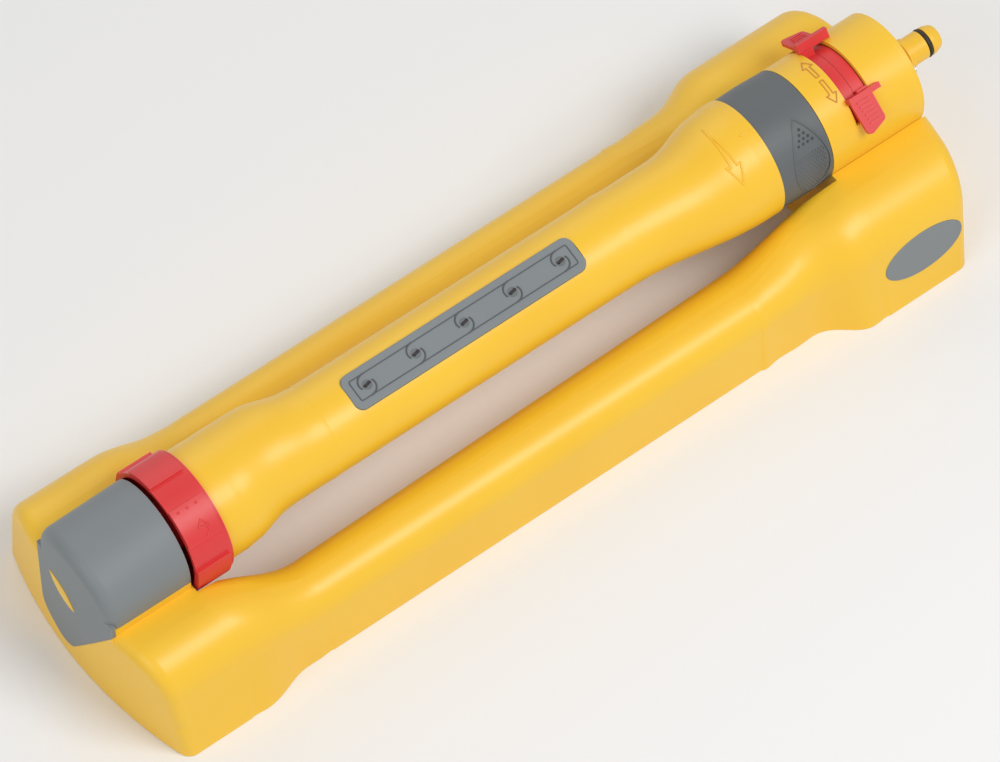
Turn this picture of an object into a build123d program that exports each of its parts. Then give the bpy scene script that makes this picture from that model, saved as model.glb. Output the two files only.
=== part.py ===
from build123d import *
import math
import os

# Oscillating garden sprinkler, in millimetres. X runs along the swing axis towards the hose
# inlet, Z is up, and the origin is on the ground under the middle of the sprinkler.

# Lengths along the axis, from the near end to the tip of the hose connector
CAP_LENGTH = 49.4
CAP_GAP = 2.6
SELECTOR_WIDTH = 22.0
TUBE_LENGTH = 344.4
FLOW_WIDTH = 32.0
RING_GAP = 0.4
HOUSING_LENGTH = 57.0
COVER_THICKNESS = 3.0
CONNECTOR_LENGTH = 32.8

# Swing axis and clearances
AXIS_HEIGHT = 75.0
REST_SWING = 14.5
RUN_CLEARANCE = 0.06
SEAT_CLEARANCE = 0.15
SKIN_CLEARANCE = 0.4
DRUM_CLEARANCE = 0.3

# Moulded frame
NEAR_HALF_WIDTH = 77.0
FAR_HALF_WIDTH = 84.0
RAIL_HALF_WIDTH = 70.0
RAIL_INNER_NEAR = 34.4
RAIL_INNER_FAR = 29.8
RAIL_HEIGHT = 48.0
RAIL_ROUND = 16.5
RAIL_LEAN = 4.0
BLOCK_HEIGHT = 66.0
NEAR_SHOULDER = 25.0
FAR_SHOULDER = 30.0
NEAR_LEAN = 10.0
FAR_LEAN = 12.0
FRAME_WALL = 2.6
NEAR_SWOOP_LENGTH = 56.0
FAR_SWOOP_LENGTH = 74.0
SWOOP_STEPS = 8
END_CURVE = 252.0
END_EDGE_ROUND = 7.0
FAR_OVERHANG = 5.5
RING_ROOM = 3.0
SELECTOR_ROOM = 1.0
PEDESTAL_THICKNESS = 6.0
PEDESTAL_RADIUS = 17.0
SEAM_HEIGHT = 71.0

# Near bearing cap and its badge
CAP_RADIUS = 31.5
CAP_NEAR_RISE = 27.0
CAP_EDGE_ROUND = 7.0
CAP_WALL = 2.2
APRON_DEPTH = 2.2
APRON_LOW = 6.0
APRON_ROUND = 12.0
BADGE_LENGTH = 24.0
BADGE_WIDTH = 9.0
BADGE_THICKNESS = 1.2
BADGE_RISE = 0.4
BADGE_TILT = 31.0
BADGE_Y = 9.0
BADGE_Z = 59.0

# Near journal, its bush and the seal on the tube's plug
JOURNAL_RADIUS = 10.0
JOURNAL_BORE = 6.0
BUSH_WALL = 2.5
BUSH_FLANGE = 2.0
PLUG_THICKNESS = 8.0
SEAL_RADIUS = 1.3

# Jet selector ring
SELECTOR_RADIUS = 33.4
SELECTOR_WALL = 2.4
SELECTOR_WEB = 2.5
SELECTOR_HUB_WALL = 3.0
LUG_RISE = 1.6
LUGS = 6
LUG_ANGLE = 34.0
LUG_FIRST = 20.0
SELECTOR_TURN = 50.0
CAM_STEPS = 5
CAM_MARGIN = 1.5
CAM_LEAD = 1.0

# Spray tube
TUBE_NEAR_RADIUS = 31.0
TUBE_WAIST_RADIUS = 24.8
TUBE_FAR_RADIUS = 33.2
TUBE_WALL = 2.2
NEAR_FLAT = 12.0
NEAR_TAPER = 32.0
NEAR_SKEW = 29.0
FAR_FLAT = 7.5
FAR_TAPER = 40.0
FAR_SKEW = 40.0
TAPER_STEPS = 7

# Nozzle strip, its nozzles, the gallery under it and the jet shutter
STRIP_LENGTH = 143.0
STRIP_WIDTH = 20.0
STRIP_TOP = 25.0
STRIP_THICKNESS = 4.4
STRIP_CORNER = 5.0
STRIP_EDGE = 0.6
STRIP_CENTRE = 161.3
NOZZLES = 5
NOZZLE_PITCH = 30.0
NOZZLE_RADIUS = 2.7
NOZZLE_RISE = 0.2
NOZZLE_BORE = 0.8
GALLERY_RADIUS = 9.0
GALLERY_WALL = 1.8
CHEST_WIDTH = 15.0
CHEST_MARGIN = 8.0
JET_RADIUS = 1.2
SHUTTER_DEPTH = 8.2
SHUTTER_WIDTH = 11.0
SHUTTER_THICKNESS = 1.5
SHUTTER_TRAVEL = 5.0
TONGUE_WIDTH = 6.0
TONGUE_REACH = 4.0

# Drive shaft, hub and flow control ring
SHAFT_RADIUS = 8.0
SHAFT_BORE = 5.0
HUB_THICKNESS = 7.0
HUB_SETBACK = 0.5
HUB_SPIGOT = 6.0
HUB_FLOOR = 2.0
FLOW_RADIUS = 32.4
FLOW_CROWN = 0.3
FLOW_WALL = 2.4
FLOW_WEB = 3.0
VALVE_PITCH = 10.0
VALVE_WALL = 2.0
VALVE_DEPTH = 2.0
VALVE_PORTS = 3
VALVE_ANGLE = 16.0
PORT_RADIUS = 2.2
PORT_CIRCLE = 13.5

# Motor housing, its slot and the range sliders
HOUSING_RADIUS = 32.2
HOUSING_WALL = 2.4
HOUSING_NEAR_WALL = 2.6
SHAFT_BUSH_WALL = 2.0
SLOT_OFFSET = 17.4
SLOT_WIDTH = 14.6
SLOT_HALF_ANGLE = 60.0
SLIDER_WALL = 2.5
SLIDER_REST = 36.0
SLIDER_NECK_ANGLE = 9.0
PADDLE_LENGTH = 21.0
PADDLE_THICKNESS = 2.2
PADDLE_SIDE = 0.4
RIB_WIDTH = 3.0
RIB_RISE = 3.2
RIB_TAB = 4.5
GRIP_RIBS = 6
GRIP_LENGTH = 7.5
GRIP_WIDTH = 0.9
GRIP_RISE = 0.6
GRIP_PITCH = 2.4
LUG_WIDTH = 12.0
LUG_X = 16.0
LUG_Y = 12.0
LUG_DEPTH = 7.0
LUG_ROOM = 1.0

# Motor casing and gear train
CASING_WALL = 1.8
CASING_FLOOR = 2.5
GEAR_MODULE = 0.55
PINION_TEETH = 12
WHEEL_TEETH = 36
GEAR_WIDTH = 3.6
GEAR_GAP = 0.8
PRESSURE_ANGLE = 20.0
BACKLASH = 0.16
ARBOR_RADIUS = 1.0
GEAR_HUB_RADIUS = 1.7
FIRST_ARBOR_ANGLE = 150.0
SECOND_ARBOR_ANGLE = 210.0
POST_RADIUS = 2.0
POST_CIRCLE = 21.5
PLATE_THICKNESS = 2.5
TURBINE_RADIUS = 19.0
TURBINE_HUB = 5.0
TURBINE_WIDTH = 7.0
TURBINE_BLADES = 10
BLADE_THICKNESS = 1.2
BLADE_SLANT = 25.0
DIRECTOR_THICKNESS = 3.0
DIRECTOR_JETS = 6
JET_BORE = 1.5
JET_SLANT = 30.0
LEVER_THICKNESS = 2.5
LEVER_PIVOT = 14.0
LEVER_WIDTH = 9.0
FLAP_DEPTH = 6.0
FLAP_ANGLE = 20.0
PIN_RADIUS = 2.0
PIN_REACH = 1.0
SPRING_WIRE = 0.6
SPRING_SPAN = 9.0
SPRING_HEIGHT = 8.0
SPRING_MARGIN = 4.6
SPRING_BEND = 1.5

# Hose connector for the common 12.5 mm quick coupling, its seal and filter
CONNECTOR_RADIUS = 7.95
CONNECTOR_NECK_RADIUS = 6.7
CONNECTOR_BORE = 4.6
CONNECTOR_COLLAR_RADIUS = 8.7
CONNECTOR_NECK_LENGTH = 11.0
CONNECTOR_COLLAR_LENGTH = 3.0
CONNECTOR_TIP_LENGTH = 4.6
CONNECTOR_TIP_RADIUS = 6.8
CONNECTOR_FLANGE_RADIUS = 11.0
CONNECTOR_FLANGE = 2.5
CONNECTOR_SEAL_RADIUS = 1.3
CONNECTOR_SEAL_CENTRE = 6.9
CONNECTOR_SEAL_SETBACK = 8.2
FILTER_LENGTH = 16.0
FILTER_WALL = 0.6

# Oval badges on the far block
OVAL_LENGTH = 50.0
OVAL_HEIGHT = 27.0
OVAL_THICKNESS = 1.6
OVAL_RISE = 0.5
OVAL_SETBACK = 40.5
OVAL_CENTRE = 30.0

# Screws
SCREW_RADIUS = 1.6
SCREW_HEAD_RADIUS = 3.2
SCREW_HEAD = 2.2
SCREW_CLEARANCE = 0.2
SCREW_GRIP = 5.0
COVER_SCREW_RADIUS = 0.8
COVER_SCREW_HEAD_RADIUS = 1.6
COVER_SCREW_HEAD = 1.0
COVER_SCREW_GRIP = 4.0
BOSS_RADIUS = 5.0
BOSS_FLOOR = 4.0
BOSS_DEPTH = 3.0
CAP_SCREW_SETBACK = 22.2
CAP_SCREW_Y = 21.0
CAP_BOSS_RADIUS = 3.6

# Stations along the axis
OVERALL_LENGTH = (
    CAP_LENGTH + CAP_GAP + SELECTOR_WIDTH + TUBE_LENGTH + FLOW_WIDTH + 3 * RING_GAP
    + HOUSING_LENGTH + COVER_THICKNESS + CONNECTOR_LENGTH
)
NEAR_END = -OVERALL_LENGTH / 2
CAP_FAR = NEAR_END + CAP_LENGTH
CAP_SCREW_X = NEAR_END + CAP_SCREW_SETBACK
SELECTOR_NEAR = CAP_FAR + CAP_GAP
SELECTOR_FAR = SELECTOR_NEAR + SELECTOR_WIDTH
TUBE_NEAR = SELECTOR_FAR + RING_GAP
TUBE_FAR = TUBE_NEAR + TUBE_LENGTH
FLOW_NEAR = TUBE_FAR + RING_GAP
FLOW_FAR = FLOW_NEAR + FLOW_WIDTH
HOUSING_NEAR = FLOW_FAR + RING_GAP
HOUSING_FAR = HOUSING_NEAR + HOUSING_LENGTH
COVER_FAR = HOUSING_FAR + COVER_THICKNESS
TIP = COVER_FAR + CONNECTOR_LENGTH
FAR_END = COVER_FAR + FAR_OVERHANG
STRIP_X = TUBE_NEAR + STRIP_CENTRE
BLOCK_FACE = CAP_FAR + 1.0
PEDESTAL_FAR = CAP_FAR - CAP_WALL - 1.0
PEDESTAL_NEAR = PEDESTAL_FAR - PEDESTAL_THICKNESS
SWING_AXIS = Pos(0, 0, AXIS_HEIGHT)

# Radii inside the tube and the motor
PLUG_RADIUS = TUBE_NEAR_RADIUS - TUBE_WALL - SEAT_CLEARANCE
HUB_RADIUS = TUBE_FAR_RADIUS - TUBE_WALL - SEAT_CLEARANCE
STRIP_FLOOR = STRIP_TOP - STRIP_THICKNESS
SLIDER_RADIUS = HOUSING_RADIUS - HOUSING_WALL - DRUM_CLEARANCE
CASING_RADIUS = SLIDER_RADIUS - SLIDER_WALL - DRUM_CLEARANCE
CASING_BORE = CASING_RADIUS - CASING_WALL

# Stations inside the motor
SHUTTER_NEAR = SELECTOR_FAR - TONGUE_REACH
CASING_NEAR = HOUSING_NEAR + HOUSING_NEAR_WALL + DRUM_CLEARANCE
GEARS_NEAR = CASING_NEAR + CASING_FLOOR + GEAR_GAP
SECOND_WHEEL = GEARS_NEAR + GEAR_WIDTH + GEAR_GAP
FIRST_WHEEL = SECOND_WHEEL + GEAR_WIDTH + GEAR_GAP
PLATE_NEAR = FIRST_WHEEL + GEAR_WIDTH + 2 * GEAR_GAP
TURBINE_NEAR = PLATE_NEAR + PLATE_THICKNESS + 3.0
TURBINE_FAR = TURBINE_NEAR + TURBINE_WIDTH
DIRECTOR_NEAR = TURBINE_FAR + 2.0
DIRECTOR_FAR = DIRECTOR_NEAR + DIRECTOR_THICKNESS
SPINDLE_FAR = DIRECTOR_FAR - 1.0
LEVER_NEAR = DIRECTOR_FAR + SKIN_CLEARANCE
CENTRE_DISTANCE = GEAR_MODULE * (PINION_TEETH + WHEEL_TEETH) / 2


def rod(start, end, radius):
    """Solid cylinder on the swing axis."""
    return SWING_AXIS * Pos(start, 0, 0) * Rot(0, 90, 0) * Cylinder(
        radius, end - start, align=(Align.CENTER, Align.CENTER, Align.MIN)
    )


def pipe(start, end, outer, inner):
    """Hollow cylinder on the swing axis."""
    return rod(start, end, outer) - rod(start - 1, end + 1, inner)


def turned(points):
    """Solid of revolution about the swing axis from (x, radius) points."""
    profile = make_face(Polyline(*points, close=True))
    return SWING_AXIS * revolve(Plane.XZ * profile, Axis.X)


def sector(start, end, inner, outer, first, last):
    """Part of a ring about the swing axis, with angles from straight up towards -Y."""
    profile = make_face(Polyline((start, inner), (end, inner), (end, outer), (start, outer), close=True))
    return turn(first) * revolve(Plane.XZ * profile, Axis.X, last - first)


def turn(angle):
    """Places what is modelled about X on the swing axis, turned from straight up towards -Y."""
    return SWING_AXIS * Rot(angle, 0, 0)


def off_axis(angle, distance):
    """Offset from the swing axis at an angle from straight up towards -Y."""
    slant = math.radians(angle)
    return Pos(0, -distance * math.sin(slant), distance * math.cos(slant))


def upright(x, y, low, high, radius):
    """Vertical cylinder."""
    return Pos(x, y, low) * Cylinder(
        radius, high - low, align=(Align.CENTER, Align.CENTER, Align.MIN)
    )


def block(x, y, z):
    """Box from its three (low, high) spans."""
    size = [high - low for low, high in (x, y, z)]
    return Pos(x[0], y[0], z[0]) * Box(*size, align=(Align.MIN, Align.MIN, Align.MIN))


def across(x):
    """Plane across the axis at x, whose local x is Y and local y is Z."""
    return Plane(origin=(x, 0, 0), x_dir=(0, 1, 0), z_dir=(1, 0, 0))


def blend(start, end, share):
    """Value on a smooth step from start to end."""
    share = min(max(share, 0.0), 1.0)
    return start + (end - start) * share * share * (3 - 2 * share)


def shoulder_points(outer, lean, top, shoulder):
    """Start, middle and end of the shoulder arc between a leaning side and the level top."""
    slant = math.radians(lean)
    half = math.radians((90 + lean) / 2)
    y = outer - (shoulder + (top - shoulder) * math.sin(slant)) / math.cos(slant)
    z = top - shoulder
    return (
        (y + shoulder * math.cos(slant), z + shoulder * math.sin(slant)),
        (y + shoulder * math.sin(half), z + shoulder * math.cos(half)),
        (y, top),
    )


def side_section(x, outer, lean, top, shoulder, inner, inner_round):
    """Outline across one side of the frame: leaning side, shoulder, round inner corner."""
    start, middle, crest = shoulder_points(outer, lean, top, shoulder)
    cut = inner_round * (1 - math.sqrt(0.5))
    return across(x) * make_face([
        Line((inner, 0), (outer, 0)),
        Line((outer, 0), start),
        ThreePointArc(start, middle, crest),
        Line(crest, (inner + inner_round, top)),
        ThreePointArc((inner + inner_round, top), (inner + cut, top - cut), (inner, top - inner_round)),
        Line((inner, top - inner_round), (inner, 0)),
    ])


def swoop(rail_x, block_x, inner, outer, lean, shoulder, inset, early, late):
    """One side of the frame where it rises from the rail to a block."""
    sections = []
    for step in range(SWOOP_STEPS + 1):
        share = step / SWOOP_STEPS
        spread = (share - early) / (late - early)
        sections.append(side_section(
            rail_x + (block_x - rail_x) * share,
            blend(RAIL_HALF_WIDTH, outer, spread) - inset,
            blend(RAIL_LEAN, lean, spread),
            blend(RAIL_HEIGHT, BLOCK_HEIGHT, share) - inset,
            blend(RAIL_ROUND, shoulder, share) - inset,
            blend(inner, CAP_RADIUS, share) + inset,
            blend(RAIL_ROUND, 2 * FRAME_WALL, share) - inset,
        ))
    return loft(sections)


def frame_side(inset):
    """The rail and both swoops on the +Y side, drawn in by inset."""
    near_rail = BLOCK_FACE + NEAR_SWOOP_LENGTH
    far_rail = HOUSING_NEAR - FAR_SWOOP_LENGTH
    rail = loft([
        side_section(x, RAIL_HALF_WIDTH - inset, RAIL_LEAN, RAIL_HEIGHT - inset, RAIL_ROUND - inset,
                     inner + inset, RAIL_ROUND - inset)
        for x, inner in ((near_rail, RAIL_INNER_NEAR), (far_rail, RAIL_INNER_FAR))
    ])
    near = swoop(near_rail, BLOCK_FACE - inset, RAIL_INNER_NEAR, NEAR_HALF_WIDTH, NEAR_LEAN,
                 NEAR_SHOULDER, inset, 0.3, 0.8)
    far = swoop(far_rail, HOUSING_NEAR + inset, RAIL_INNER_FAR, FAR_HALF_WIDTH, FAR_LEAN,
                FAR_SHOULDER, inset, 0.5, 0.85)
    return rail + near + far


def block_core(start, end, outer, lean, shoulder, inset):
    """Block under the cap or the housing, full width, drawn in by inset."""
    first, middle, crest = shoulder_points(outer - inset, lean, BLOCK_HEIGHT - inset, shoulder - inset)
    base = (outer - inset, 0)
    left = [(-y, z) for y, z in (base, first, middle, crest)]
    return extrude(across(start) * make_face([
        Line(left[0], base),
        Line(base, first),
        ThreePointArc(first, middle, crest),
        Line(crest, left[3]),
        ThreePointArc(left[3], left[2], left[1]),
        Line(left[1], left[0]),
    ]), end - start, dir=(1, 0, 0))


def near_round(inset):
    """Upright drum whose side is the frame's bulging near end wall."""
    return upright(NEAR_END + END_CURVE, 0, -1, 2 * AXIS_HEIGHT, END_CURVE - inset)


def far_round(inset):
    """Upright drum whose side is the frame's bulging far end wall."""
    return upright(FAR_END - END_CURVE, 0, -1, 2 * AXIS_HEIGHT, END_CURVE - inset)


def end_edges(solid, end):
    """The crease round an end wall, apart from the edge on the ground."""
    reach = END_CURVE - math.sqrt(END_CURVE ** 2 - FAR_HALF_WIDTH ** 2)
    return [
        edge for edge in solid.edges()
        if abs(edge.center().X - end) < reach and edge.center().Z > 1
    ]


def frame_body(inset):
    """Whole form of the frame, drawn in by inset."""
    near = block_core(NEAR_END - 1, BLOCK_FACE - inset, NEAR_HALF_WIDTH, NEAR_LEAN, NEAR_SHOULDER, inset)
    near = near & near_round(inset)
    near = fillet(end_edges(near, NEAR_END), END_EDGE_ROUND - inset)
    far = block_core(HOUSING_NEAR + inset, FAR_END + 1, FAR_HALF_WIDTH, FAR_LEAN, FAR_SHOULDER, inset)
    far = far & far_round(inset)
    far = fillet(end_edges(far, FAR_END), END_EDGE_ROUND - inset)
    side = frame_side(inset)
    return near + far + side + mirror(side, Plane.XZ)


def cap_land(inset):
    """Raised land on the near block that carries the cap."""
    land = block((NEAR_END - 1, CAP_FAR - inset), (-CAP_RADIUS + inset, CAP_RADIUS - inset),
                 (BLOCK_HEIGHT / 2, SEAM_HEIGHT - inset))
    return land & near_round(inset)


def apron_outline():
    """Outline of the cap's apron on the near end wall, in Y and Z."""
    outline = make_face(Polyline(
        (-CAP_RADIUS, AXIS_HEIGHT), (CAP_RADIUS, AXIS_HEIGHT), (CAP_RADIUS, APRON_LOW + APRON_ROUND),
        (CAP_RADIUS / 4, APRON_LOW), (-CAP_RADIUS, BLOCK_HEIGHT), close=True
    ))
    return fillet(outline.vertices().sort_by(Axis.Y)[:2], APRON_ROUND)


def near_skin(outline, outer, inner):
    """Plate that follows the near end wall between two depths from its face."""
    prism = extrude(across(NEAR_END - 2) * outline, END_CURVE / 10, dir=(1, 0, 0))
    return (near_round(outer) - near_round(inner)) & prism


def lens_outline(grow):
    """Outline of the lens badge on the apron, in Y and Z."""
    length, width = BADGE_LENGTH / 2 + grow, BADGE_WIDTH / 2 + grow
    lens = make_face([
        ThreePointArc((-length, 0), (0, width), (length, 0)),
        ThreePointArc((length, 0), (0, -width), (-length, 0)),
    ])
    return Pos(BADGE_Y, BADGE_Z) * Rot(0, 0, BADGE_TILT) * lens


def oval_plate(side, grow, outer, inner):
    """Oval plate laid on the far block's leaning side, between two heights over its face."""
    centre_y = FAR_HALF_WIDTH - OVAL_CENTRE * math.tan(math.radians(FAR_LEAN))
    plane = Plane(
        origin=(FAR_END - OVAL_SETBACK, side * centre_y, OVAL_CENTRE),
        x_dir=(1, 0, 0),
        z_dir=(0, side * math.cos(math.radians(FAR_LEAN)), math.sin(math.radians(FAR_LEAN))),
    )
    oval = Ellipse(OVAL_LENGTH / 2 + grow, OVAL_HEIGHT / 2 + grow)
    return extrude(plane.offset(inner) * oval, outer - inner)


def screw(head_down):
    """Pan-head screw along Z with its head's seat at z = 0."""
    shank = Cylinder(SCREW_RADIUS, head_down, align=(Align.CENTER, Align.CENTER, Align.MIN))
    head = Pos(0, 0, -SCREW_HEAD) * Cylinder(
        SCREW_HEAD_RADIUS, SCREW_HEAD, align=(Align.CENTER, Align.CENTER, Align.MIN)
    )
    slot = Pos(0, 0, -SCREW_HEAD) * Box(SCREW_HEAD_RADIUS * 1.2, SCREW_RADIUS / 2, SCREW_HEAD)
    return shank + head - slot


def housing_lug_places():
    """Where the housing is screwed to the frame."""
    middle = (HOUSING_NEAR + HOUSING_FAR) / 2
    return [(middle + x, y) for x in (-LUG_X, LUG_X) for y in (-LUG_Y, LUG_Y)]


def lug_floor():
    """Height of the seat between the housing's lugs and the frame's bosses."""
    return AXIS_HEIGHT - HOUSING_RADIUS - LUG_DEPTH


def screw_seat():
    """Height of the housing screws' heads' seats, up inside the bosses."""
    return lug_floor() - BOSS_FLOOR


def lug_wells(grow, low, high):
    """Boxes round each pair of the housing's lugs, between two heights."""
    long, wide = LUG_WIDTH / 2 + LUG_ROOM + grow, LUG_Y + LUG_WIDTH / 2 + LUG_ROOM + grow
    middle = (HOUSING_NEAR + HOUSING_FAR) / 2
    first, second = [
        block((x - long, x + long), (-wide, wide), (low, high)) for x in (middle - LUG_X, middle + LUG_X)
    ]
    return first + second


def make_base_frame():
    """One-piece moulding: two blocks and two rails, open underneath."""
    sunk = Pos(0, 0, -0.01)
    body = frame_body(0) + cap_land(0) - sunk * frame_body(FRAME_WALL) - sunk * cap_land(FRAME_WALL)
    # Bearing pedestal, with the bore for the bush and the trough round the journal
    pedestal = rod(PEDESTAL_NEAR, PEDESTAL_FAR, PEDESTAL_RADIUS) + block(
        (PEDESTAL_NEAR, PEDESTAL_FAR), (-PEDESTAL_RADIUS, PEDESTAL_RADIUS),
        (SEAM_HEIGHT - FRAME_WALL, AXIS_HEIGHT),
    )
    body += pedestal
    body -= rod(PEDESTAL_NEAR - 1, PEDESTAL_FAR + 1, JOURNAL_RADIUS + BUSH_WALL)
    body -= rod(PEDESTAL_FAR, BLOCK_FACE + 1, JOURNAL_RADIUS + 1)
    body -= rod(PEDESTAL_NEAR - BUSH_FLANGE - 2, PEDESTAL_NEAR, JOURNAL_RADIUS + BUSH_WALL + 2.5)
    # Recess for the cap's apron, backed by its own floor
    recess = APRON_DEPTH + SEAT_CLEARANCE
    outline = apron_outline()
    wide = offset(outline, 2 * FRAME_WALL)
    body += near_skin(wide, recess, recess + FRAME_WALL) & frame_body(FRAME_WALL / 2)
    body -= near_skin(offset(outline, SEAT_CLEARANCE), -1, recess)
    # Cradle for the housing, and room for the turning rings
    cradle = HOUSING_RADIUS + SEAT_CLEARANCE
    half = block((HOUSING_NEAR, FAR_END), (-FAR_HALF_WIDTH, FAR_HALF_WIDTH), (1, BLOCK_HEIGHT - 1))
    body += rod(HOUSING_NEAR, FAR_END - FRAME_WALL, cradle + FRAME_WALL) & half & frame_body(0)
    body -= rod(HOUSING_NEAR - 1, FAR_END + 1, cradle)
    body -= rod(TUBE_FAR - FAR_TAPER, HOUSING_NEAR, TUBE_FAR_RADIUS + RING_ROOM)
    body -= rod(BLOCK_FACE, TUBE_NEAR + NEAR_FLAT, SELECTOR_RADIUS + LUG_RISE + SELECTOR_ROOM)
    # Wells under the cradle for the housing's lugs, with bosses for the screws
    body = body + lug_wells(FRAME_WALL, lug_floor() - FRAME_WALL, AXIS_HEIGHT - HOUSING_RADIUS)
    body -= lug_wells(0, lug_floor(), AXIS_HEIGHT)
    for x, y in housing_lug_places():
        body += upright(x, y, screw_seat() - BOSS_DEPTH, lug_floor(), BOSS_RADIUS)
        body -= upright(x, y, 0, lug_floor() + 1, SCREW_RADIUS + SCREW_CLEARANCE)
        body -= upright(x, y, 0, screw_seat(), SCREW_HEAD_RADIUS + SCREW_CLEARANCE)
    # Holes for the cap's screws
    for y in (-CAP_SCREW_Y, CAP_SCREW_Y):
        body -= upright(CAP_SCREW_X, y, BLOCK_HEIGHT / 2, AXIS_HEIGHT, SCREW_RADIUS + SCREW_CLEARANCE)
        body -= upright(CAP_SCREW_X, y, BLOCK_HEIGHT / 2, SEAM_HEIGHT - FRAME_WALL,
                        SCREW_HEAD_RADIUS + SCREW_CLEARANCE)
    # Recesses for the oval badges
    for side in (-1, 1):
        pad = oval_plate(side, FRAME_WALL, -SEAT_CLEARANCE, -OVAL_THICKNESS - FRAME_WALL)
        body += pad & frame_body(FRAME_WALL / 2)
        body -= oval_plate(side, SEAT_CLEARANCE, 4 * OVAL_RISE, -OVAL_THICKNESS)
    return body


def make_near_bearing_bush():
    """Flanged plastic bush in the pedestal."""
    bore = JOURNAL_RADIUS + RUN_CLEARANCE
    bush = pipe(PEDESTAL_NEAR, PEDESTAL_FAR, JOURNAL_RADIUS + BUSH_WALL, bore)
    return bush + pipe(PEDESTAL_NEAR - BUSH_FLANGE, PEDESTAL_NEAR, JOURNAL_RADIUS + BUSH_WALL + 2, bore)


def cap_arch(inset, far):
    """Arched form of the cap, lower at its near end."""
    above = Pos(0, SEAM_HEIGHT + AXIS_HEIGHT) * Rectangle(4 * CAP_RADIUS, 2 * AXIS_HEIGHT)
    faces = []
    for x, rise in ((NEAR_END - 1, CAP_NEAR_RISE), (far, CAP_RADIUS)):
        arch = Pos(0, AXIS_HEIGHT) * Ellipse(CAP_RADIUS - inset, rise - inset)
        faces.append(across(x) * (arch & above))
    return loft(faces, ruled=True)


def make_near_bearing_cap():
    """Grey cover over the near bearing, with the apron on the end wall."""
    outer = cap_arch(0, CAP_FAR) & near_round(0)
    front = [
        edge for edge in outer.edges()
        if edge.center().X < NEAR_END + 5 and edge.center().Z > SEAM_HEIGHT + 0.5
    ]
    outer = fillet(front, CAP_EDGE_ROUND)
    cap = outer - (cap_arch(CAP_WALL, CAP_FAR - CAP_WALL) & near_round(CAP_WALL))
    cap -= rod(CAP_FAR - CAP_WALL - 1, CAP_FAR + 1, JOURNAL_RADIUS + SKIN_CLEARANCE)
    for y in (-CAP_SCREW_Y, CAP_SCREW_Y):
        cap += upright(CAP_SCREW_X, y, SEAM_HEIGHT, AXIS_HEIGHT + CAP_RADIUS, CAP_BOSS_RADIUS) & outer
        cap -= upright(CAP_SCREW_X, y, SEAM_HEIGHT - 1, SEAM_HEIGHT + SCREW_GRIP + 1, SCREW_RADIUS)
    below = block((NEAR_END - 1, CAP_FAR), (-CAP_RADIUS - 1, CAP_RADIUS + 1), (0, AXIS_HEIGHT))
    cap += near_skin(apron_outline(), 0, APRON_DEPTH) & below
    return cap - near_skin(lens_outline(SEAT_CLEARANCE), -1, BADGE_THICKNESS)


def make_end_cap_badge():
    """Lens-shaped badge on the cap's apron, its face left plain."""
    return near_skin(lens_outline(0), -BADGE_RISE, BADGE_THICKNESS)


def make_near_journal():
    """Plug that closes the tube's near end, with the hollow journal that swings in the bush."""
    stub_near = PEDESTAL_NEAR - BUSH_FLANGE - 1
    plug = rod(TUBE_NEAR, TUBE_NEAR + PLUG_THICKNESS, PLUG_RADIUS)
    middle = TUBE_NEAR + PLUG_THICKNESS / 2
    groove = pipe(middle - SEAL_RADIUS - 0.1, middle + SEAL_RADIUS + 0.1, PLUG_RADIUS + 1,
                  PLUG_RADIUS - 2 * SEAL_RADIUS)
    journal = rod(stub_near, TUBE_NEAR, JOURNAL_RADIUS) - rod(stub_near - 1, TUBE_NEAR - 2, JOURNAL_BORE)
    height = shutter_height()
    slot = block((TUBE_NEAR - 1, TUBE_NEAR + PLUG_THICKNESS + 1),
                 (-TONGUE_WIDTH / 2 - SKIN_CLEARANCE, TONGUE_WIDTH / 2 + SKIN_CLEARANCE),
                 (height - SKIN_CLEARANCE, height + SHUTTER_THICKNESS + SKIN_CLEARANCE))
    return plug - groove + journal - turn(REST_SWING) * slot


def make_near_plug_seal():
    """O-ring in the plug's groove."""
    centre = PLUG_RADIUS + SEAT_CLEARANCE - SEAL_RADIUS - RUN_CLEARANCE
    return SWING_AXIS * Pos(TUBE_NEAR + PLUG_THICKNESS / 2, 0, 0) * Rot(0, 90, 0) * Torus(centre, SEAL_RADIUS)


def make_jet_selector_ring():
    """Red ring that turns on the journal and slides the jet shutter."""
    bore = JOURNAL_RADIUS + RUN_CLEARANCE
    web = (SELECTOR_NEAR + SELECTOR_FAR) / 2 - SELECTOR_WEB
    ring = pipe(SELECTOR_NEAR, SELECTOR_FAR, SELECTOR_RADIUS, SELECTOR_RADIUS - SELECTOR_WALL)
    ring += pipe(web, web + SELECTOR_WEB, SELECTOR_RADIUS - 1, bore)
    ring += pipe(SELECTOR_NEAR + 1, SELECTOR_FAR - 1, bore + SELECTOR_HUB_WALL, bore)
    for lug in range(LUGS):
        first = LUG_FIRST + lug * 360 / LUGS
        ring += sector(SELECTOR_NEAR, SELECTOR_FAR - SELECTOR_WEB, SELECTOR_RADIUS - 1,
                       SELECTOR_RADIUS + LUG_RISE, first, first + LUG_ANGLE)
    # Stepped cam behind the shutter's tongue
    low = shutter_height() - CAM_MARGIN
    high = shutter_height() + SHUTTER_THICKNESS + CAM_MARGIN
    last = REST_SWING - math.degrees(TONGUE_WIDTH / 2 / low) - CAM_LEAD
    for step in range(CAM_STEPS):
        rise = SHUTTER_NEAR - SKIN_CLEARANCE + SHUTTER_TRAVEL * step / CAM_STEPS
        last -= SELECTOR_TURN / CAM_STEPS
        ring += sector(web, rise, low, high, last, last + SELECTOR_TURN / CAM_STEPS)
    return ring


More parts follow.
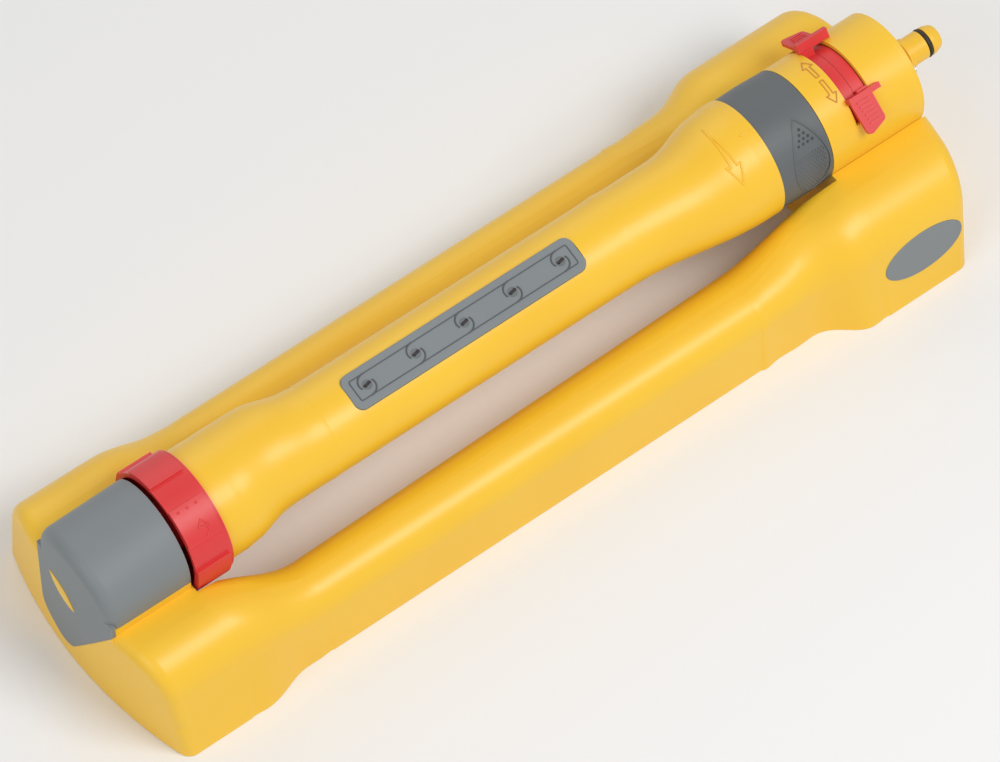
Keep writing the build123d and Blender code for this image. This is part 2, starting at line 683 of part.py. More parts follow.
def near_taper(share):
    """Station and the radii on the two sides of the tube, along its near taper."""
    distance = (NEAR_TAPER + NEAR_SKEW) * share
    return (
        TUBE_NEAR + NEAR_FLAT + distance,
        blend(TUBE_NEAR_RADIUS, TUBE_WAIST_RADIUS, distance / NEAR_TAPER),
        blend(TUBE_NEAR_RADIUS, TUBE_WAIST_RADIUS, (distance - NEAR_SKEW) / NEAR_TAPER),
    )


def far_taper(share):
    """Station and the radii on the two sides of the tube, along its far taper."""
    distance = (FAR_TAPER + FAR_SKEW) * share
    return (
        TUBE_FAR - FAR_FLAT - distance,
        blend(TUBE_FAR_RADIUS, TUBE_WAIST_RADIUS, distance / (FAR_TAPER + FAR_SKEW)),
        blend(TUBE_FAR_RADIUS, TUBE_WAIST_RADIUS, distance / FAR_TAPER),
    )


def tube_form(inset):
    """Solid form of the spray tube, drawn in by inset."""
    near_start, near_end = near_taper(0)[0], near_taper(1)[0]
    far_start, far_end = far_taper(0)[0], far_taper(1)[0]
    body = rod(TUBE_NEAR, near_start, TUBE_NEAR_RADIUS - inset)
    body += rod(near_end, far_end, TUBE_WAIST_RADIUS - inset)
    body += rod(far_start, TUBE_FAR, TUBE_FAR_RADIUS - inset)
    for taper in (near_taper, far_taper):
        circles = []
        for step in range(TAPER_STEPS + 1):
            x, low, high = taper(step / TAPER_STEPS)
            circles.append(across(x) * Pos((high - low) / 2, 0) * Circle((high + low) / 2 - inset))
        body += turn(REST_SWING) * loft(circles)
    return body


def strip_hole(grow, low, high):
    """Rounded prism in the tube's top, for the strip and its hole."""
    outline = RectangleRounded(STRIP_LENGTH + 2 * grow, STRIP_WIDTH + 2 * grow, STRIP_CORNER + grow)
    return turn(REST_SWING) * extrude(Pos(STRIP_X, 0, low) * outline, high - low)


def nozzle_stations():
    """Where the nozzles stand along the axis."""
    first = STRIP_X - NOZZLE_PITCH * (NOZZLES - 1) / 2
    return [first + NOZZLE_PITCH * number for number in range(NOZZLES)]


def shutter_height():
    """Height of the shutter's underside over the swing axis, in the tube's own frame."""
    return STRIP_FLOOR - SHUTTER_DEPTH + SHUTTER_THICKNESS


def make_spray_tube():
    """Yellow tube: wide ends, a waist, and the opening for the nozzle strip."""
    tube = tube_form(0) - tube_form(TUBE_WALL)
    return tube - strip_hole(SEAT_CLEARANCE, STRIP_FLOOR - 4, STRIP_TOP + 4)


def make_nozzle_strip():
    """Grey strip let into the top of the tube."""
    strip = strip_hole(0, STRIP_FLOOR, STRIP_TOP)
    top = strip.faces().sort_by(Axis((0, 0, 0), turn_direction()))[-1]
    strip = chamfer(top.edges(), STRIP_EDGE)
    for x in nozzle_stations():
        strip -= turn(REST_SWING) * upright(x, 0, STRIP_FLOOR - 1, STRIP_TOP + 1, NOZZLE_RADIUS + RUN_CLEARANCE)
    return strip


def turn_direction():
    """Direction that the nozzles point in at rest."""
    slant = math.radians(REST_SWING)
    return (0, -math.sin(slant), math.cos(slant))


def make_nozzle_inserts():
    """Soft nozzles, each with a bore and a slanted slit across its face."""
    inserts = []
    for x in nozzle_stations():
        insert = upright(x, 0, STRIP_FLOOR, STRIP_TOP + NOZZLE_RISE, NOZZLE_RADIUS)
        insert -= upright(x, 0, STRIP_FLOOR - 1, STRIP_TOP + 1, NOZZLE_BORE)
        insert -= Pos(x, 0, STRIP_TOP) * Rot(0, 0, 35) * Box(2.4 * NOZZLE_BORE + 2, NOZZLE_BORE, 1)
        inserts.append(turn(REST_SWING) * insert)
    return Compound(children=inserts)


def make_water_gallery():
    """Pipe along the tube's axis, with the chest that feeds the nozzles and holds the shutter."""
    near, far = TUBE_NEAR + PLUG_THICKNESS, TUBE_FAR - HUB_SETBACK - HUB_THICKNESS
    body = rod(near, far, GALLERY_RADIUS)
    half = NOZZLE_PITCH * (NOZZLES - 1) / 2 + CHEST_MARGIN
    chest = block((STRIP_X - half, STRIP_X + half), (-CHEST_WIDTH / 2, CHEST_WIDTH / 2), (0, STRIP_FLOOR))
    height = shutter_height()
    slide = block((STRIP_X - half - 1, STRIP_X + half + 1),
                  (-SHUTTER_WIDTH / 2 - SKIN_CLEARANCE, SHUTTER_WIDTH / 2 + SKIN_CLEARANCE),
                  (height - SKIN_CLEARANCE, height + SHUTTER_THICKNESS + SKIN_CLEARANCE))
    chest -= slide
    for x in nozzle_stations():
        chest -= upright(x, 0, 0, STRIP_FLOOR + 1, JET_RADIUS)
    body += turn(REST_SWING) * chest
    return body - rod(near + GALLERY_WALL, far + 1, GALLERY_RADIUS - GALLERY_WALL)


def make_jet_shutter():
    """Slide that closes the outer jets, with the tongue that the selector ring moves."""
    half = NOZZLE_PITCH * (NOZZLES - 1) / 2 + CHEST_MARGIN - SHUTTER_TRAVEL
    low = shutter_height()
    high = low + SHUTTER_THICKNESS
    plate = block((STRIP_X - half, STRIP_X + half), (-SHUTTER_WIDTH / 2, SHUTTER_WIDTH / 2), (low, high))
    plate += block((SHUTTER_NEAR, STRIP_X - half), (-TONGUE_WIDTH / 2, TONGUE_WIDTH / 2), (low, high))
    for number, x in enumerate(nozzle_stations()):
        plate -= upright(x, 0, low - 1, high + 1, 1.3 * JET_RADIUS)
        if 0 < number < NOZZLES - 1:
            reach = (x - SHUTTER_TRAVEL, x)
            plate -= block(reach, (-1.3 * JET_RADIUS, 1.3 * JET_RADIUS), (low - 1, high + 1))
    return turn(REST_SWING) * plate


def make_tube_hub():
    """Plug in the tube's far end that the drive shaft turns."""
    near, far = TUBE_FAR - HUB_SETBACK - HUB_THICKNESS, TUBE_FAR - HUB_SETBACK
    hub = rod(near, far, HUB_RADIUS)
    hub += rod(near - HUB_SPIGOT, near, GALLERY_RADIUS - GALLERY_WALL - RUN_CLEARANCE)
    hub -= rod(near + HUB_FLOOR, far + 1, SHAFT_RADIUS)
    return hub - rod(near - HUB_SPIGOT - 1, far, SHAFT_BORE)


def make_drive_shaft():
    """Hollow shaft from the output gear to the tube's hub, with the valve's holes."""
    near, far = TUBE_FAR - HUB_SETBACK - HUB_THICKNESS + HUB_FLOOR, SECOND_WHEEL - GEAR_GAP / 2
    middle = (FLOW_NEAR + FLOW_FAR) / 2
    shaft = pipe(near, far, SHAFT_RADIUS, SHAFT_BORE)
    shaft += rod(middle - VALVE_WALL / 2, middle + VALVE_WALL / 2, SHAFT_RADIUS)
    for x in (middle - VALVE_PITCH / 2, middle + VALVE_PITCH / 2):
        for port in range(VALVE_PORTS):
            shaft -= turn(port * 360 / VALVE_PORTS) * upright(x, 0, 0, SHAFT_RADIUS + 1, PORT_RADIUS)
    return shaft


def make_flow_control_ring():
    """Grey ring that turns on the drive shaft beside the tube and throttles the water."""
    middle = (FLOW_NEAR + FLOW_FAR) / 2
    bore = SHAFT_RADIUS + RUN_CLEARANCE
    ring = turned([
        (FLOW_NEAR, FLOW_RADIUS), (middle, FLOW_RADIUS + FLOW_CROWN), (FLOW_FAR, FLOW_RADIUS - FLOW_CROWN),
        (FLOW_FAR, FLOW_RADIUS - FLOW_WALL), (FLOW_NEAR, FLOW_RADIUS - FLOW_WALL),
    ])
    ring += pipe(FLOW_NEAR, FLOW_NEAR + FLOW_WEB, FLOW_RADIUS - FLOW_WALL / 2, bore)
    ring += pipe(FLOW_NEAR, FLOW_FAR, bore + 2 * VALVE_DEPTH, bore)
    # Round chamber over one row of the shaft's holes, and a pocket over each hole of the other
    low, high = middle - VALVE_PITCH / 2 - PORT_RADIUS, middle + VALVE_PITCH / 2 + PORT_RADIUS
    ring -= pipe(middle, high, bore + VALVE_DEPTH, bore - 1)
    for port in range(VALVE_PORTS):
        angle = port * 360 / VALVE_PORTS
        ring -= sector(low, middle + 1, bore - 1, bore + VALVE_DEPTH, angle - VALVE_ANGLE, angle + VALVE_ANGLE)
    return ring


def make_shaft_bush():
    """Bush in the housing's near wall that the drive shaft runs in."""
    return pipe(HOUSING_NEAR, CASING_NEAR, SHAFT_RADIUS + SHAFT_BUSH_WALL, SHAFT_RADIUS + RUN_CLEARANCE)


def make_shaft_seal():
    """O-ring round the drive shaft in the casing's floor."""
    middle = CASING_NEAR + CASING_FLOOR / 2
    centre = SHAFT_RADIUS + RUN_CLEARANCE + 0.9
    return SWING_AXIS * Pos(middle, 0, 0) * Rot(0, 90, 0) * Torus(centre, 0.9)


def make_motor_housing():
    """Yellow drum over the motor, with the slot that the sliders reach through."""
    body = pipe(HOUSING_NEAR, HOUSING_FAR, HOUSING_RADIUS, HOUSING_RADIUS - HOUSING_WALL)
    body += pipe(HOUSING_NEAR, HOUSING_NEAR + HOUSING_NEAR_WALL, HOUSING_RADIUS - 1,
                 SHAFT_RADIUS + SHAFT_BUSH_WALL)
    slot = HOUSING_NEAR + SLOT_OFFSET
    body -= sector(slot, slot + SLOT_WIDTH, HOUSING_RADIUS - HOUSING_WALL - 1, HOUSING_RADIUS + 1,
                   -SLOT_HALF_ANGLE, SLOT_HALF_ANGLE)
    for x, y in housing_lug_places():
        half = LUG_WIDTH / 2
        lug = block((x - half, x + half), (y - half, y + half), (lug_floor(), AXIS_HEIGHT - HOUSING_RADIUS / 2))
        body += lug - rod(HOUSING_NEAR, HOUSING_FAR, HOUSING_RADIUS - HOUSING_WALL / 2)
        body -= upright(x, y, lug_floor() - 1, lug_floor() + SCREW_GRIP + 1, SCREW_RADIUS)
    # Pads for the end cover's screws, which also hold the casing at the far end
    inner = HOUSING_RADIUS - HOUSING_WALL
    for angle in cover_screw_angles():
        pad = off_axis(angle, cover_screw_circle()) * rod(
            HOUSING_FAR - COVER_SCREW_GRIP - 2, HOUSING_FAR, 2 * COVER_SCREW_RADIUS)
        body += pad & rod(HOUSING_NEAR, HOUSING_FAR, inner + 1)
        body -= off_axis(angle, cover_screw_circle()) * rod(
            HOUSING_FAR - COVER_SCREW_GRIP, HOUSING_FAR + 1, COVER_SCREW_RADIUS)
    return body


def slider(side, start, end):
    """One range slider: ring, neck through the slot, finger paddle and stop rib."""
    ring = pipe(start, end, SLIDER_RADIUS, SLIDER_RADIUS - SLIDER_WALL)
    rest = SLIDER_REST * side
    half = SLIDER_NECK_ANGLE / 2
    ring += sector(start, end, SLIDER_RADIUS - 1, HOUSING_RADIUS + 1, rest - half, rest + half)
    low = HOUSING_RADIUS + DRUM_CLEARANCE
    high = low + PADDLE_THICKNESS
    left = HOUSING_NEAR + SLOT_OFFSET + PADDLE_SIDE
    right = HOUSING_NEAR + SLOT_OFFSET + SLOT_WIDTH - PADDLE_SIDE
    outline = make_face(Polyline(
        (left, 0), (right, 0), (right, -0.8 * PADDLE_LENGTH), (left + 1, -PADDLE_LENGTH), close=True
    ))
    outline = fillet(outline.vertices().sort_by(Axis.Y)[:2], 2.5)
    paddle = extrude(Pos(0, 0, low) * outline, PADDLE_THICKNESS)
    paddle += block((left - 1, right + RIB_TAB), (-RIB_WIDTH / 2, RIB_WIDTH / 2), (low, high + RIB_RISE))
    for number in range(GRIP_RIBS):
        y = -RIB_WIDTH - GRIP_PITCH * number
        x = (left + right) / 2 - GRIP_LENGTH / 2 + 0.3 * number
        paddle += block((x, x + GRIP_LENGTH), (y - GRIP_WIDTH / 2, y + GRIP_WIDTH / 2), (high, high + GRIP_RISE))
    if side < 0:
        paddle = mirror(paddle, Plane.XZ)
    return ring + turn(rest) * paddle


def make_range_slider_left():
    """Slider on the +Y side, on the ring nearer the tube."""
    start = HOUSING_NEAR + SLOT_OFFSET + DRUM_CLEARANCE
    return slider(-1, start, start + (SLOT_WIDTH - 3 * DRUM_CLEARANCE) / 2)


def make_range_slider_right():
    """Slider on the -Y side, on the ring nearer the hose."""
    end = HOUSING_NEAR + SLOT_OFFSET + SLOT_WIDTH - DRUM_CLEARANCE
    return slider(1, end - (SLOT_WIDTH - 3 * DRUM_CLEARANCE) / 2, end)


def arbor_places():
    """Offsets of the two gear arbors from the swing axis."""
    return [
        off_axis(FIRST_ARBOR_ANGLE, CENTRE_DISTANCE),
        off_axis(SECOND_ARBOR_ANGLE, CENTRE_DISTANCE),
    ]


def post_angles():
    """Where the posts of the gearbox stand, clear of the gears."""
    return [0, 60, 300]


def make_motor_casing():
    """Cup that holds the gears and the turbine in the water."""
    body = pipe(CASING_NEAR, HOUSING_FAR, CASING_RADIUS, CASING_BORE)
    floor = pipe(CASING_NEAR, CASING_NEAR + CASING_FLOOR, CASING_RADIUS - 1, SHAFT_RADIUS + RUN_CLEARANCE)
    groove = rod(CASING_NEAR + CASING_FLOOR / 2 - 0.95, CASING_NEAR + CASING_FLOOR / 2 + 0.95,
                 SHAFT_RADIUS + RUN_CLEARANCE + 1.85)
    return body + (floor - groove)


def make_gearbox_plate():
    """Plate across the casing behind the gears."""
    plate = rod(PLATE_NEAR, PLATE_NEAR + PLATE_THICKNESS, CASING_BORE - SEAT_CLEARANCE)
    plate -= rod(PLATE_NEAR - 1, PLATE_NEAR + PLATE_THICKNESS + 1, GEAR_HUB_RADIUS + RUN_CLEARANCE)
    for place in arbor_places():
        plate -= place * rod(PLATE_NEAR - 1, PLATE_NEAR + PLATE_THICKNESS - 1, ARBOR_RADIUS)
    for port in range(3):
        angle = 30 + port * 120
        plate -= off_axis(angle, PORT_CIRCLE) * rod(PLATE_NEAR - 1, PLATE_NEAR + PLATE_THICKNESS + 1, PORT_RADIUS)
    return plate


def make_gearbox_posts():
    """Three posts that hold the plate off the casing's floor."""
    return Compound(children=[
        off_axis(angle, POST_CIRCLE) * rod(CASING_NEAR + CASING_FLOOR, PLATE_NEAR, POST_RADIUS)
        for angle in post_angles()
    ])


def make_gear_arbors():
    """Steel pins that the two middle gears run on."""
    return Compound(children=[
        place * rod(CASING_NEAR + CASING_FLOOR, PLATE_NEAR + PLATE_THICKNESS - 1, ARBOR_RADIUS)
        for place in arbor_places()
    ])


def involute(radius, base):
    """Involute angle at a radius, for a base circle."""
    slant = math.acos(min(1.0, base / radius))
    return math.tan(slant) - slant


def gear_outline(teeth, phase):
    """Outline of an involute spur gear, with a tooth centred at phase degrees."""
    pitch_radius = GEAR_MODULE * teeth / 2
    base = pitch_radius * math.cos(math.radians(PRESSURE_ANGLE))
    root, tip = pitch_radius - 1.25 * GEAR_MODULE, pitch_radius + 0.9 * GEAR_MODULE
    half_pitch = math.pi / (2 * teeth) * (1 - BACKLASH)
    at_base = half_pitch + involute(pitch_radius, base)
    flank = [(root, at_base * 0.92)]
    for radius in (max(base, root + 0.05), pitch_radius, tip):
        flank.append((radius, at_base - involute(radius, base)))
    points = []
    for tooth in range(teeth):
        centre = math.radians(phase) + 2 * math.pi * tooth / teeth
        for radius, angle in flank:
            points.append((radius * math.cos(centre - angle), radius * math.sin(centre - angle)))
        for radius, angle in reversed(flank):
            points.append((radius * math.cos(centre + angle), radius * math.sin(centre + angle)))
    return make_face(Polyline(*points, close=True))


def gear(teeth, start, width, phase):
    """Spur gear on the swing axis. Phase is the angle of a tooth, turning from Y towards Z."""
    return SWING_AXIS * extrude(across(start) * gear_outline(teeth, phase), width, dir=(1, 0, 0))


def meshed(phase, teeth, direction, other_teeth):
    """Phase of a gear that meshes with one of known phase, which lies in a direction from it."""
    pitch, other_pitch = 360 / teeth, 360 / other_teeth
    ahead = ((direction - phase) % pitch) / pitch
    return direction + 180 - 0.5 * other_pitch + ahead * other_pitch


def gear_phases():
    """Tooth phases of the output, second, first and turbine gears at rest, in mesh."""
    first = off_axis(FIRST_ARBOR_ANGLE, CENTRE_DISTANCE).position
    second = off_axis(SECOND_ARBOR_ANGLE, CENTRE_DISTANCE).position
    to_second = math.degrees(math.atan2(second.Z, second.Y))
    second_to_first = math.degrees(math.atan2(first.Z - second.Z, first.Y - second.Y))
    to_first = math.degrees(math.atan2(first.Z, first.Y))
    second_phase = meshed(0, WHEEL_TEETH, to_second, PINION_TEETH)
    first_phase = meshed(second_phase, WHEEL_TEETH, second_to_first, PINION_TEETH)
    turbine_phase = meshed(first_phase, WHEEL_TEETH, to_first + 180, PINION_TEETH)
    return 0, second_phase, first_phase, turbine_phase


def compound_gear(place, wheel_start, phase):
    """Middle gear: a small pinion beside a large wheel on one hub, running on an arbor."""
    pinion_start = wheel_start - GEAR_GAP - GEAR_WIDTH - GEAR_GAP / 4
    body = gear(PINION_TEETH, pinion_start, wheel_start - pinion_start, phase)
    body += gear(WHEEL_TEETH, wheel_start, GEAR_WIDTH, phase)
    body += rod(CASING_NEAR + CASING_FLOOR + 0.1, PLATE_NEAR - 0.1, GEAR_HUB_RADIUS)
    return place * (body - rod(CASING_NEAR, PLATE_NEAR, ARBOR_RADIUS + RUN_CLEARANCE))


def make_output_gear():
    """Gear on the end of the drive shaft."""
    body = gear(WHEEL_TEETH, GEARS_NEAR, GEAR_WIDTH, gear_phases()[0])
    return body - rod(GEARS_NEAR - 1, GEARS_NEAR + GEAR_WIDTH + 1, SHAFT_RADIUS)


def make_second_gear():
    """Gear that drives the output gear."""
    return compound_gear(arbor_places()[1], SECOND_WHEEL, gear_phases()[1])


def make_first_gear():
    """Gear that the turbine's pinion drives."""
    return compound_gear(arbor_places()[0], FIRST_WHEEL, gear_phases()[2])


def make_turbine_spindle():
    """Steel spindle of the turbine."""
    return rod(FIRST_WHEEL - GEAR_GAP / 4, SPINDLE_FAR, ARBOR_RADIUS)


def make_turbine_wheel():
    """Turbine with slanted blades and its pinion."""
    body = rod(TURBINE_NEAR, TURBINE_FAR, TURBINE_HUB)
    body += rod(TURBINE_NEAR, TURBINE_NEAR + 1, TURBINE_RADIUS)
    for number in range(TURBINE_BLADES):
        blade = Pos((TURBINE_NEAR + TURBINE_FAR) / 2, 0, (TURBINE_HUB + TURBINE_RADIUS) / 2) * Rot(
            0, 0, BLADE_SLANT) * Box(TURBINE_WIDTH, BLADE_THICKNESS, TURBINE_RADIUS - TURBINE_HUB + 1)
        body += turn(number * 360 / TURBINE_BLADES) * blade
    keep = rod(TURBINE_NEAR, TURBINE_FAR, TURBINE_RADIUS)
    body = body & keep
    body += gear(PINION_TEETH, FIRST_WHEEL - GEAR_GAP / 4, GEAR_WIDTH + GEAR_GAP / 2, gear_phases()[3])
    body += rod(FIRST_WHEEL, TURBINE_NEAR + 1, GEAR_HUB_RADIUS)
    return body - rod(FIRST_WHEEL - 1, TURBINE_FAR + 1, ARBOR_RADIUS)


def make_jet_director():
    """Fixed disc whose slanted jets drive the turbine, with the lever's pivot pin."""
    body = rod(DIRECTOR_NEAR, DIRECTOR_FAR, CASING_BORE - SEAT_CLEARANCE)
    for jet in range(DIRECTOR_JETS):
        drill = Pos((DIRECTOR_NEAR + DIRECTOR_FAR) / 2, 0, PORT_CIRCLE) * Rot(0, 90, 0) * Rot(JET_SLANT, 0, 0)
        hole = drill * Cylinder(JET_BORE, 3 * DIRECTOR_THICKNESS)
        body -= turn((jet + 0.5) * 360 / DIRECTOR_JETS) * hole
    body -= rod(DIRECTOR_NEAR - 1, SPINDLE_FAR + 0.5, ARBOR_RADIUS + RUN_CLEARANCE)
    for y in (-SPRING_SPAN, SPRING_SPAN):
        body -= Pos(0, y, spring_foot() - AXIS_HEIGHT) * rod(SPINDLE_FAR, DIRECTOR_FAR + 1, SPRING_WIRE)
    far = LEVER_NEAR + LEVER_THICKNESS + PIN_REACH
    return body + off_axis(180, LEVER_PIVOT) * rod(SPINDLE_FAR, far, PIN_RADIUS)


def make_trip_lever():
    """Lever that covers one set of jets or the other and so turns the motor round."""
    near, far = LEVER_NEAR, LEVER_NEAR + LEVER_THICKNESS
    hub = off_axis(180, LEVER_PIVOT) * rod(near, far, LEVER_WIDTH / 2)
    arm = block((near, far), (-LEVER_WIDTH / 4, LEVER_WIDTH / 4),
                (AXIS_HEIGHT - LEVER_PIVOT, AXIS_HEIGHT + PORT_CIRCLE))
    flap = sector(near, far, PORT_CIRCLE - FLAP_DEPTH / 2, PORT_CIRCLE + FLAP_DEPTH / 2, -FLAP_ANGLE, FLAP_ANGLE)
    bore = off_axis(180, LEVER_PIVOT) * rod(near - 1, far + 1, PIN_RADIUS + RUN_CLEARANCE)
    return hub + arm + flap - bore


def spring_foot():
    """Height at which the spring's legs enter the jet director."""
    return AXIS_HEIGHT - CASING_BORE + SPRING_MARGIN


def make_trip_spring():
    """Bent wire in front of the lever, with two legs in the jet director."""
    x = LEVER_NEAR + LEVER_THICKNESS + PIN_REACH + SPRING_WIRE + SKIN_CLEARANCE
    low, high = spring_foot(), spring_foot() + SPRING_HEIGHT
    inner = 0.55 * SPRING_SPAN
    wire = Plane.YZ.offset(x) * FilletPolyline(
        (-SPRING_SPAN, low), (-inner, high), (0, low), (inner, high), (SPRING_SPAN, low), radius=SPRING_BEND)
    spring = sweep(Plane(origin=wire @ 0, z_dir=wire % 0) * Circle(SPRING_WIRE), path=wire)
    for y in (-SPRING_SPAN, SPRING_SPAN):
        leg = Pos(0, y, low - AXIS_HEIGHT) * rod(SPINDLE_FAR, x, SPRING_WIRE)
        spring += leg + Pos(x, y, low) * Sphere(SPRING_WIRE)
    return spring


def cover_screw_angles():
    """Where the end cover is screwed to the housing."""
    return [45, 135, 225, 315]


def cover_screw_circle():
    """Distance of the cover's screws from the axis, in the middle of their bosses."""
    return HOUSING_RADIUS - HOUSING_WALL - COVER_SCREW_RADIUS / 2


def make_motor_end_cover():
    """Disc that closes the housing and carries the hose connector."""
    body = rod(HOUSING_FAR, COVER_FAR, HOUSING_RADIUS)
    body = chamfer(body.edges().sort_by(Axis.X)[-1:], 0.8)
    body -= rod(HOUSING_FAR - 1, COVER_FAR + 1, CONNECTOR_NECK_RADIUS + RUN_CLEARANCE)
    for angle in cover_screw_angles():
        body -= off_axis(angle, cover_screw_circle()) * rod(HOUSING_FAR - 1, COVER_FAR + 1, COVER_SCREW_RADIUS)
    return body


def make_cover_screws():
    """Four small screws through the end cover into the housing's wall."""
    return Compound(children=[
        off_axis(angle, cover_screw_circle()) * (
            rod(HOUSING_FAR - COVER_SCREW_GRIP, COVER_FAR, COVER_SCREW_RADIUS)
            + rod(COVER_FAR, COVER_FAR + COVER_SCREW_HEAD, COVER_SCREW_HEAD_RADIUS))
        for angle in cover_screw_angles()
    ])


def make_hose_connector():
    """Male quick connector: neck for the locking balls, collar, land and seal groove."""
    neck = COVER_FAR + CONNECTOR_NECK_LENGTH
    collar = neck + CONNECTOR_COLLAR_LENGTH
    seal = TIP - CONNECTOR_SEAL_SETBACK
    half = CONNECTOR_SEAL_RADIUS + SEAT_CLEARANCE
    floor = CONNECTOR_SEAL_CENTRE - CONNECTOR_SEAL_RADIUS
    return turned([
        (HOUSING_FAR - CONNECTOR_FLANGE, CONNECTOR_BORE), (HOUSING_FAR - CONNECTOR_FLANGE, CONNECTOR_FLANGE_RADIUS),
        (HOUSING_FAR, CONNECTOR_FLANGE_RADIUS), (HOUSING_FAR, CONNECTOR_NECK_RADIUS),
        (neck, CONNECTOR_NECK_RADIUS), (neck, CONNECTOR_COLLAR_RADIUS),
        (collar, CONNECTOR_COLLAR_RADIUS), (collar, CONNECTOR_RADIUS),
        (seal - half, CONNECTOR_RADIUS), (seal - half, floor), (seal + half, floor),
        (seal + half, CONNECTOR_RADIUS), (TIP - CONNECTOR_TIP_LENGTH, CONNECTOR_RADIUS),
        (TIP - 1, CONNECTOR_TIP_RADIUS), (TIP, CONNECTOR_TIP_RADIUS - 0.8), (TIP, CONNECTOR_BORE),
    ])


def make_connector_seal():
    """Dark O-ring on the hose connector."""
    return SWING_AXIS * Pos(TIP - CONNECTOR_SEAL_SETBACK, 0, 0) * Rot(0, 90, 0) * Torus(
        CONNECTOR_SEAL_CENTRE, CONNECTOR_SEAL_RADIUS)


def make_inlet_filter():
    """Conical filter in the connector's bore."""
    near, far = COVER_FAR, COVER_FAR + FILTER_LENGTH
    wide, slim = CONNECTOR_BORE - RUN_CLEARANCE, CONNECTOR_BORE / 2
    return turned([
        (near, 0), (near, slim), (far - 1, wide), (far, wide),
        (far, wide - FILTER_WALL), (far - 1, wide - FILTER_WALL), (near + FILTER_WALL, slim - FILTER_WALL),
        (near + FILTER_WALL, 0),
    ])


def make_oval_badge(side):
    """Grey oval on one side of the far block, its face left plain."""
    plate = oval_plate(side, 0, OVAL_RISE, -OVAL_THICKNESS)
    rim = plate.faces().sort_by(Axis.Y)[0 if side < 0 else -1]
    return fillet(rim.edges(), OVAL_RISE)


def make_housing_screws():
    """Four screws up through the frame's bosses into the housing's lugs."""
    return Compound(children=[
        Pos(x, y, screw_seat()) * screw(BOSS_FLOOR + SCREW_GRIP) for x, y in housing_lug_places()
    ])


def make_cap_screws():
    """Two screws up through the near block into the cap's bosses."""
    return Compound(children=[
        Pos(CAP_SCREW_X, y, SEAM_HEIGHT - FRAME_WALL) * screw(FRAME_WALL + SCREW_GRIP)
        for y in (-CAP_SCREW_Y, CAP_SCREW_Y)
    ])


def main():
    """Write each piece to its own file."""
    os.makedirs("parts", exist_ok=True)
    pieces = {
        "base_frame": make_base_frame(),
        "near_bearing_bush": make_near_bearing_bush(),
        "near_bearing_cap": make_near_bearing_cap(),
        "end_cap_badge": make_end_cap_badge(),
        "near_journal": make_near_journal(),
        "near_plug_seal": make_near_plug_seal(),
        "jet_selector_ring": make_jet_selector_ring(),
        "spray_tube": make_spray_tube(),
        "nozzle_strip": make_nozzle_strip(),
        "nozzle_inserts": make_nozzle_inserts(),
        "water_gallery": make_water_gallery(),
        "jet_shutter": make_jet_shutter(),
        "tube_hub": make_tube_hub(),
        "drive_shaft": make_drive_shaft(),
        "flow_control_ring": make_flow_control_ring(),
        "shaft_bush": make_shaft_bush(),
        "shaft_seal": make_shaft_seal(),
        "motor_housing": make_motor_housing(),
        "range_slider_left": make_range_slider_left(),
        "range_slider_right": make_range_slider_right(),
        "motor_casing": make_motor_casing(),
        "gearbox_plate": make_gearbox_plate(),
        "gearbox_posts": make_gearbox_posts(),
        "gear_arbors": make_gear_arbors(),
        "output_gear": make_output_gear(),
        "second_gear": make_second_gear(),
        "first_gear": make_first_gear(),
        "turbine_spindle": make_turbine_spindle(),
        "turbine_wheel": make_turbine_wheel(),
        "jet_director": make_jet_director(),
        "trip_lever": make_trip_lever(),
        "trip_spring": make_trip_spring(),
        "motor_end_cover": make_motor_end_cover(),
        "cover_screws": make_cover_screws(),
        "hose_connector": make_hose_connector(),
        "connector_seal": make_connector_seal(),
        "inlet_filter": make_inlet_filter(),
        "oval_badge_left": make_oval_badge(1),
        "oval_badge_right": make_oval_badge(-1),
        "housing_screws": make_housing_screws(),
        "cap_screws": make_cap_screws(),
    }
    for name, piece in pieces.items():
        export_step(piece, f"parts/{name}.step")


main()
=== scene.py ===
import math

import bpy
import numpy as np
from mathutils import Matrix, Vector
from mathutils.bvhtree import BVHTree


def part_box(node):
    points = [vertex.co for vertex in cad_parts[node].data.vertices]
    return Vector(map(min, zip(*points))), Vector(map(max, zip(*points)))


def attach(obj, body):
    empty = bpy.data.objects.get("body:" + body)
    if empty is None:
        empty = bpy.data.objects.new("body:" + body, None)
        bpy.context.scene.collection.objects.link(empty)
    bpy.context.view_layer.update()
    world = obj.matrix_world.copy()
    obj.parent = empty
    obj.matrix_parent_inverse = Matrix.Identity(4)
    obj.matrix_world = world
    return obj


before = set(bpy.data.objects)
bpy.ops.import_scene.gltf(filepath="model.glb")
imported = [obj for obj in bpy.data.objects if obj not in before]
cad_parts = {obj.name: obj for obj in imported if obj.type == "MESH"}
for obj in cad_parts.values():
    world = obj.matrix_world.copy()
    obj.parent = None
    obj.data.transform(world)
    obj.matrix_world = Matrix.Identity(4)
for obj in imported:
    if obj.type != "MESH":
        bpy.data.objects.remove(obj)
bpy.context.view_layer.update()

# The yellow mouldings: frame, tube, drum, end cover, hose plug and the badge on the cap. They
# are one glossy polypropylene, warm yellow with slightly deeper patches, with a painted
# highlight that makes every sharp edge paler, and with a thin clear skin that takes the light.
PATCHES_PER_METRE = 14.0
NOISE_DETAIL = 2.0
# Painted edge highlight: its reach, samples, gain and the share of the paler edge colour.
EDGE_HIGHLIGHT_RADIUS = 0.0006
EDGE_HIGHLIGHT_SAMPLES = 4
EDGE_HIGHLIGHT_GAIN = 3.0
EDGE_HIGHLIGHT_SHARE = 0.55
GRAIN_STRENGTH = 0.35
GRAIN_ROUGHNESS = 0.12
PLASTIC_SHINE = 0.45
SKIN = {"Coat Weight": 0.18, "Coat Roughness": 0.25}


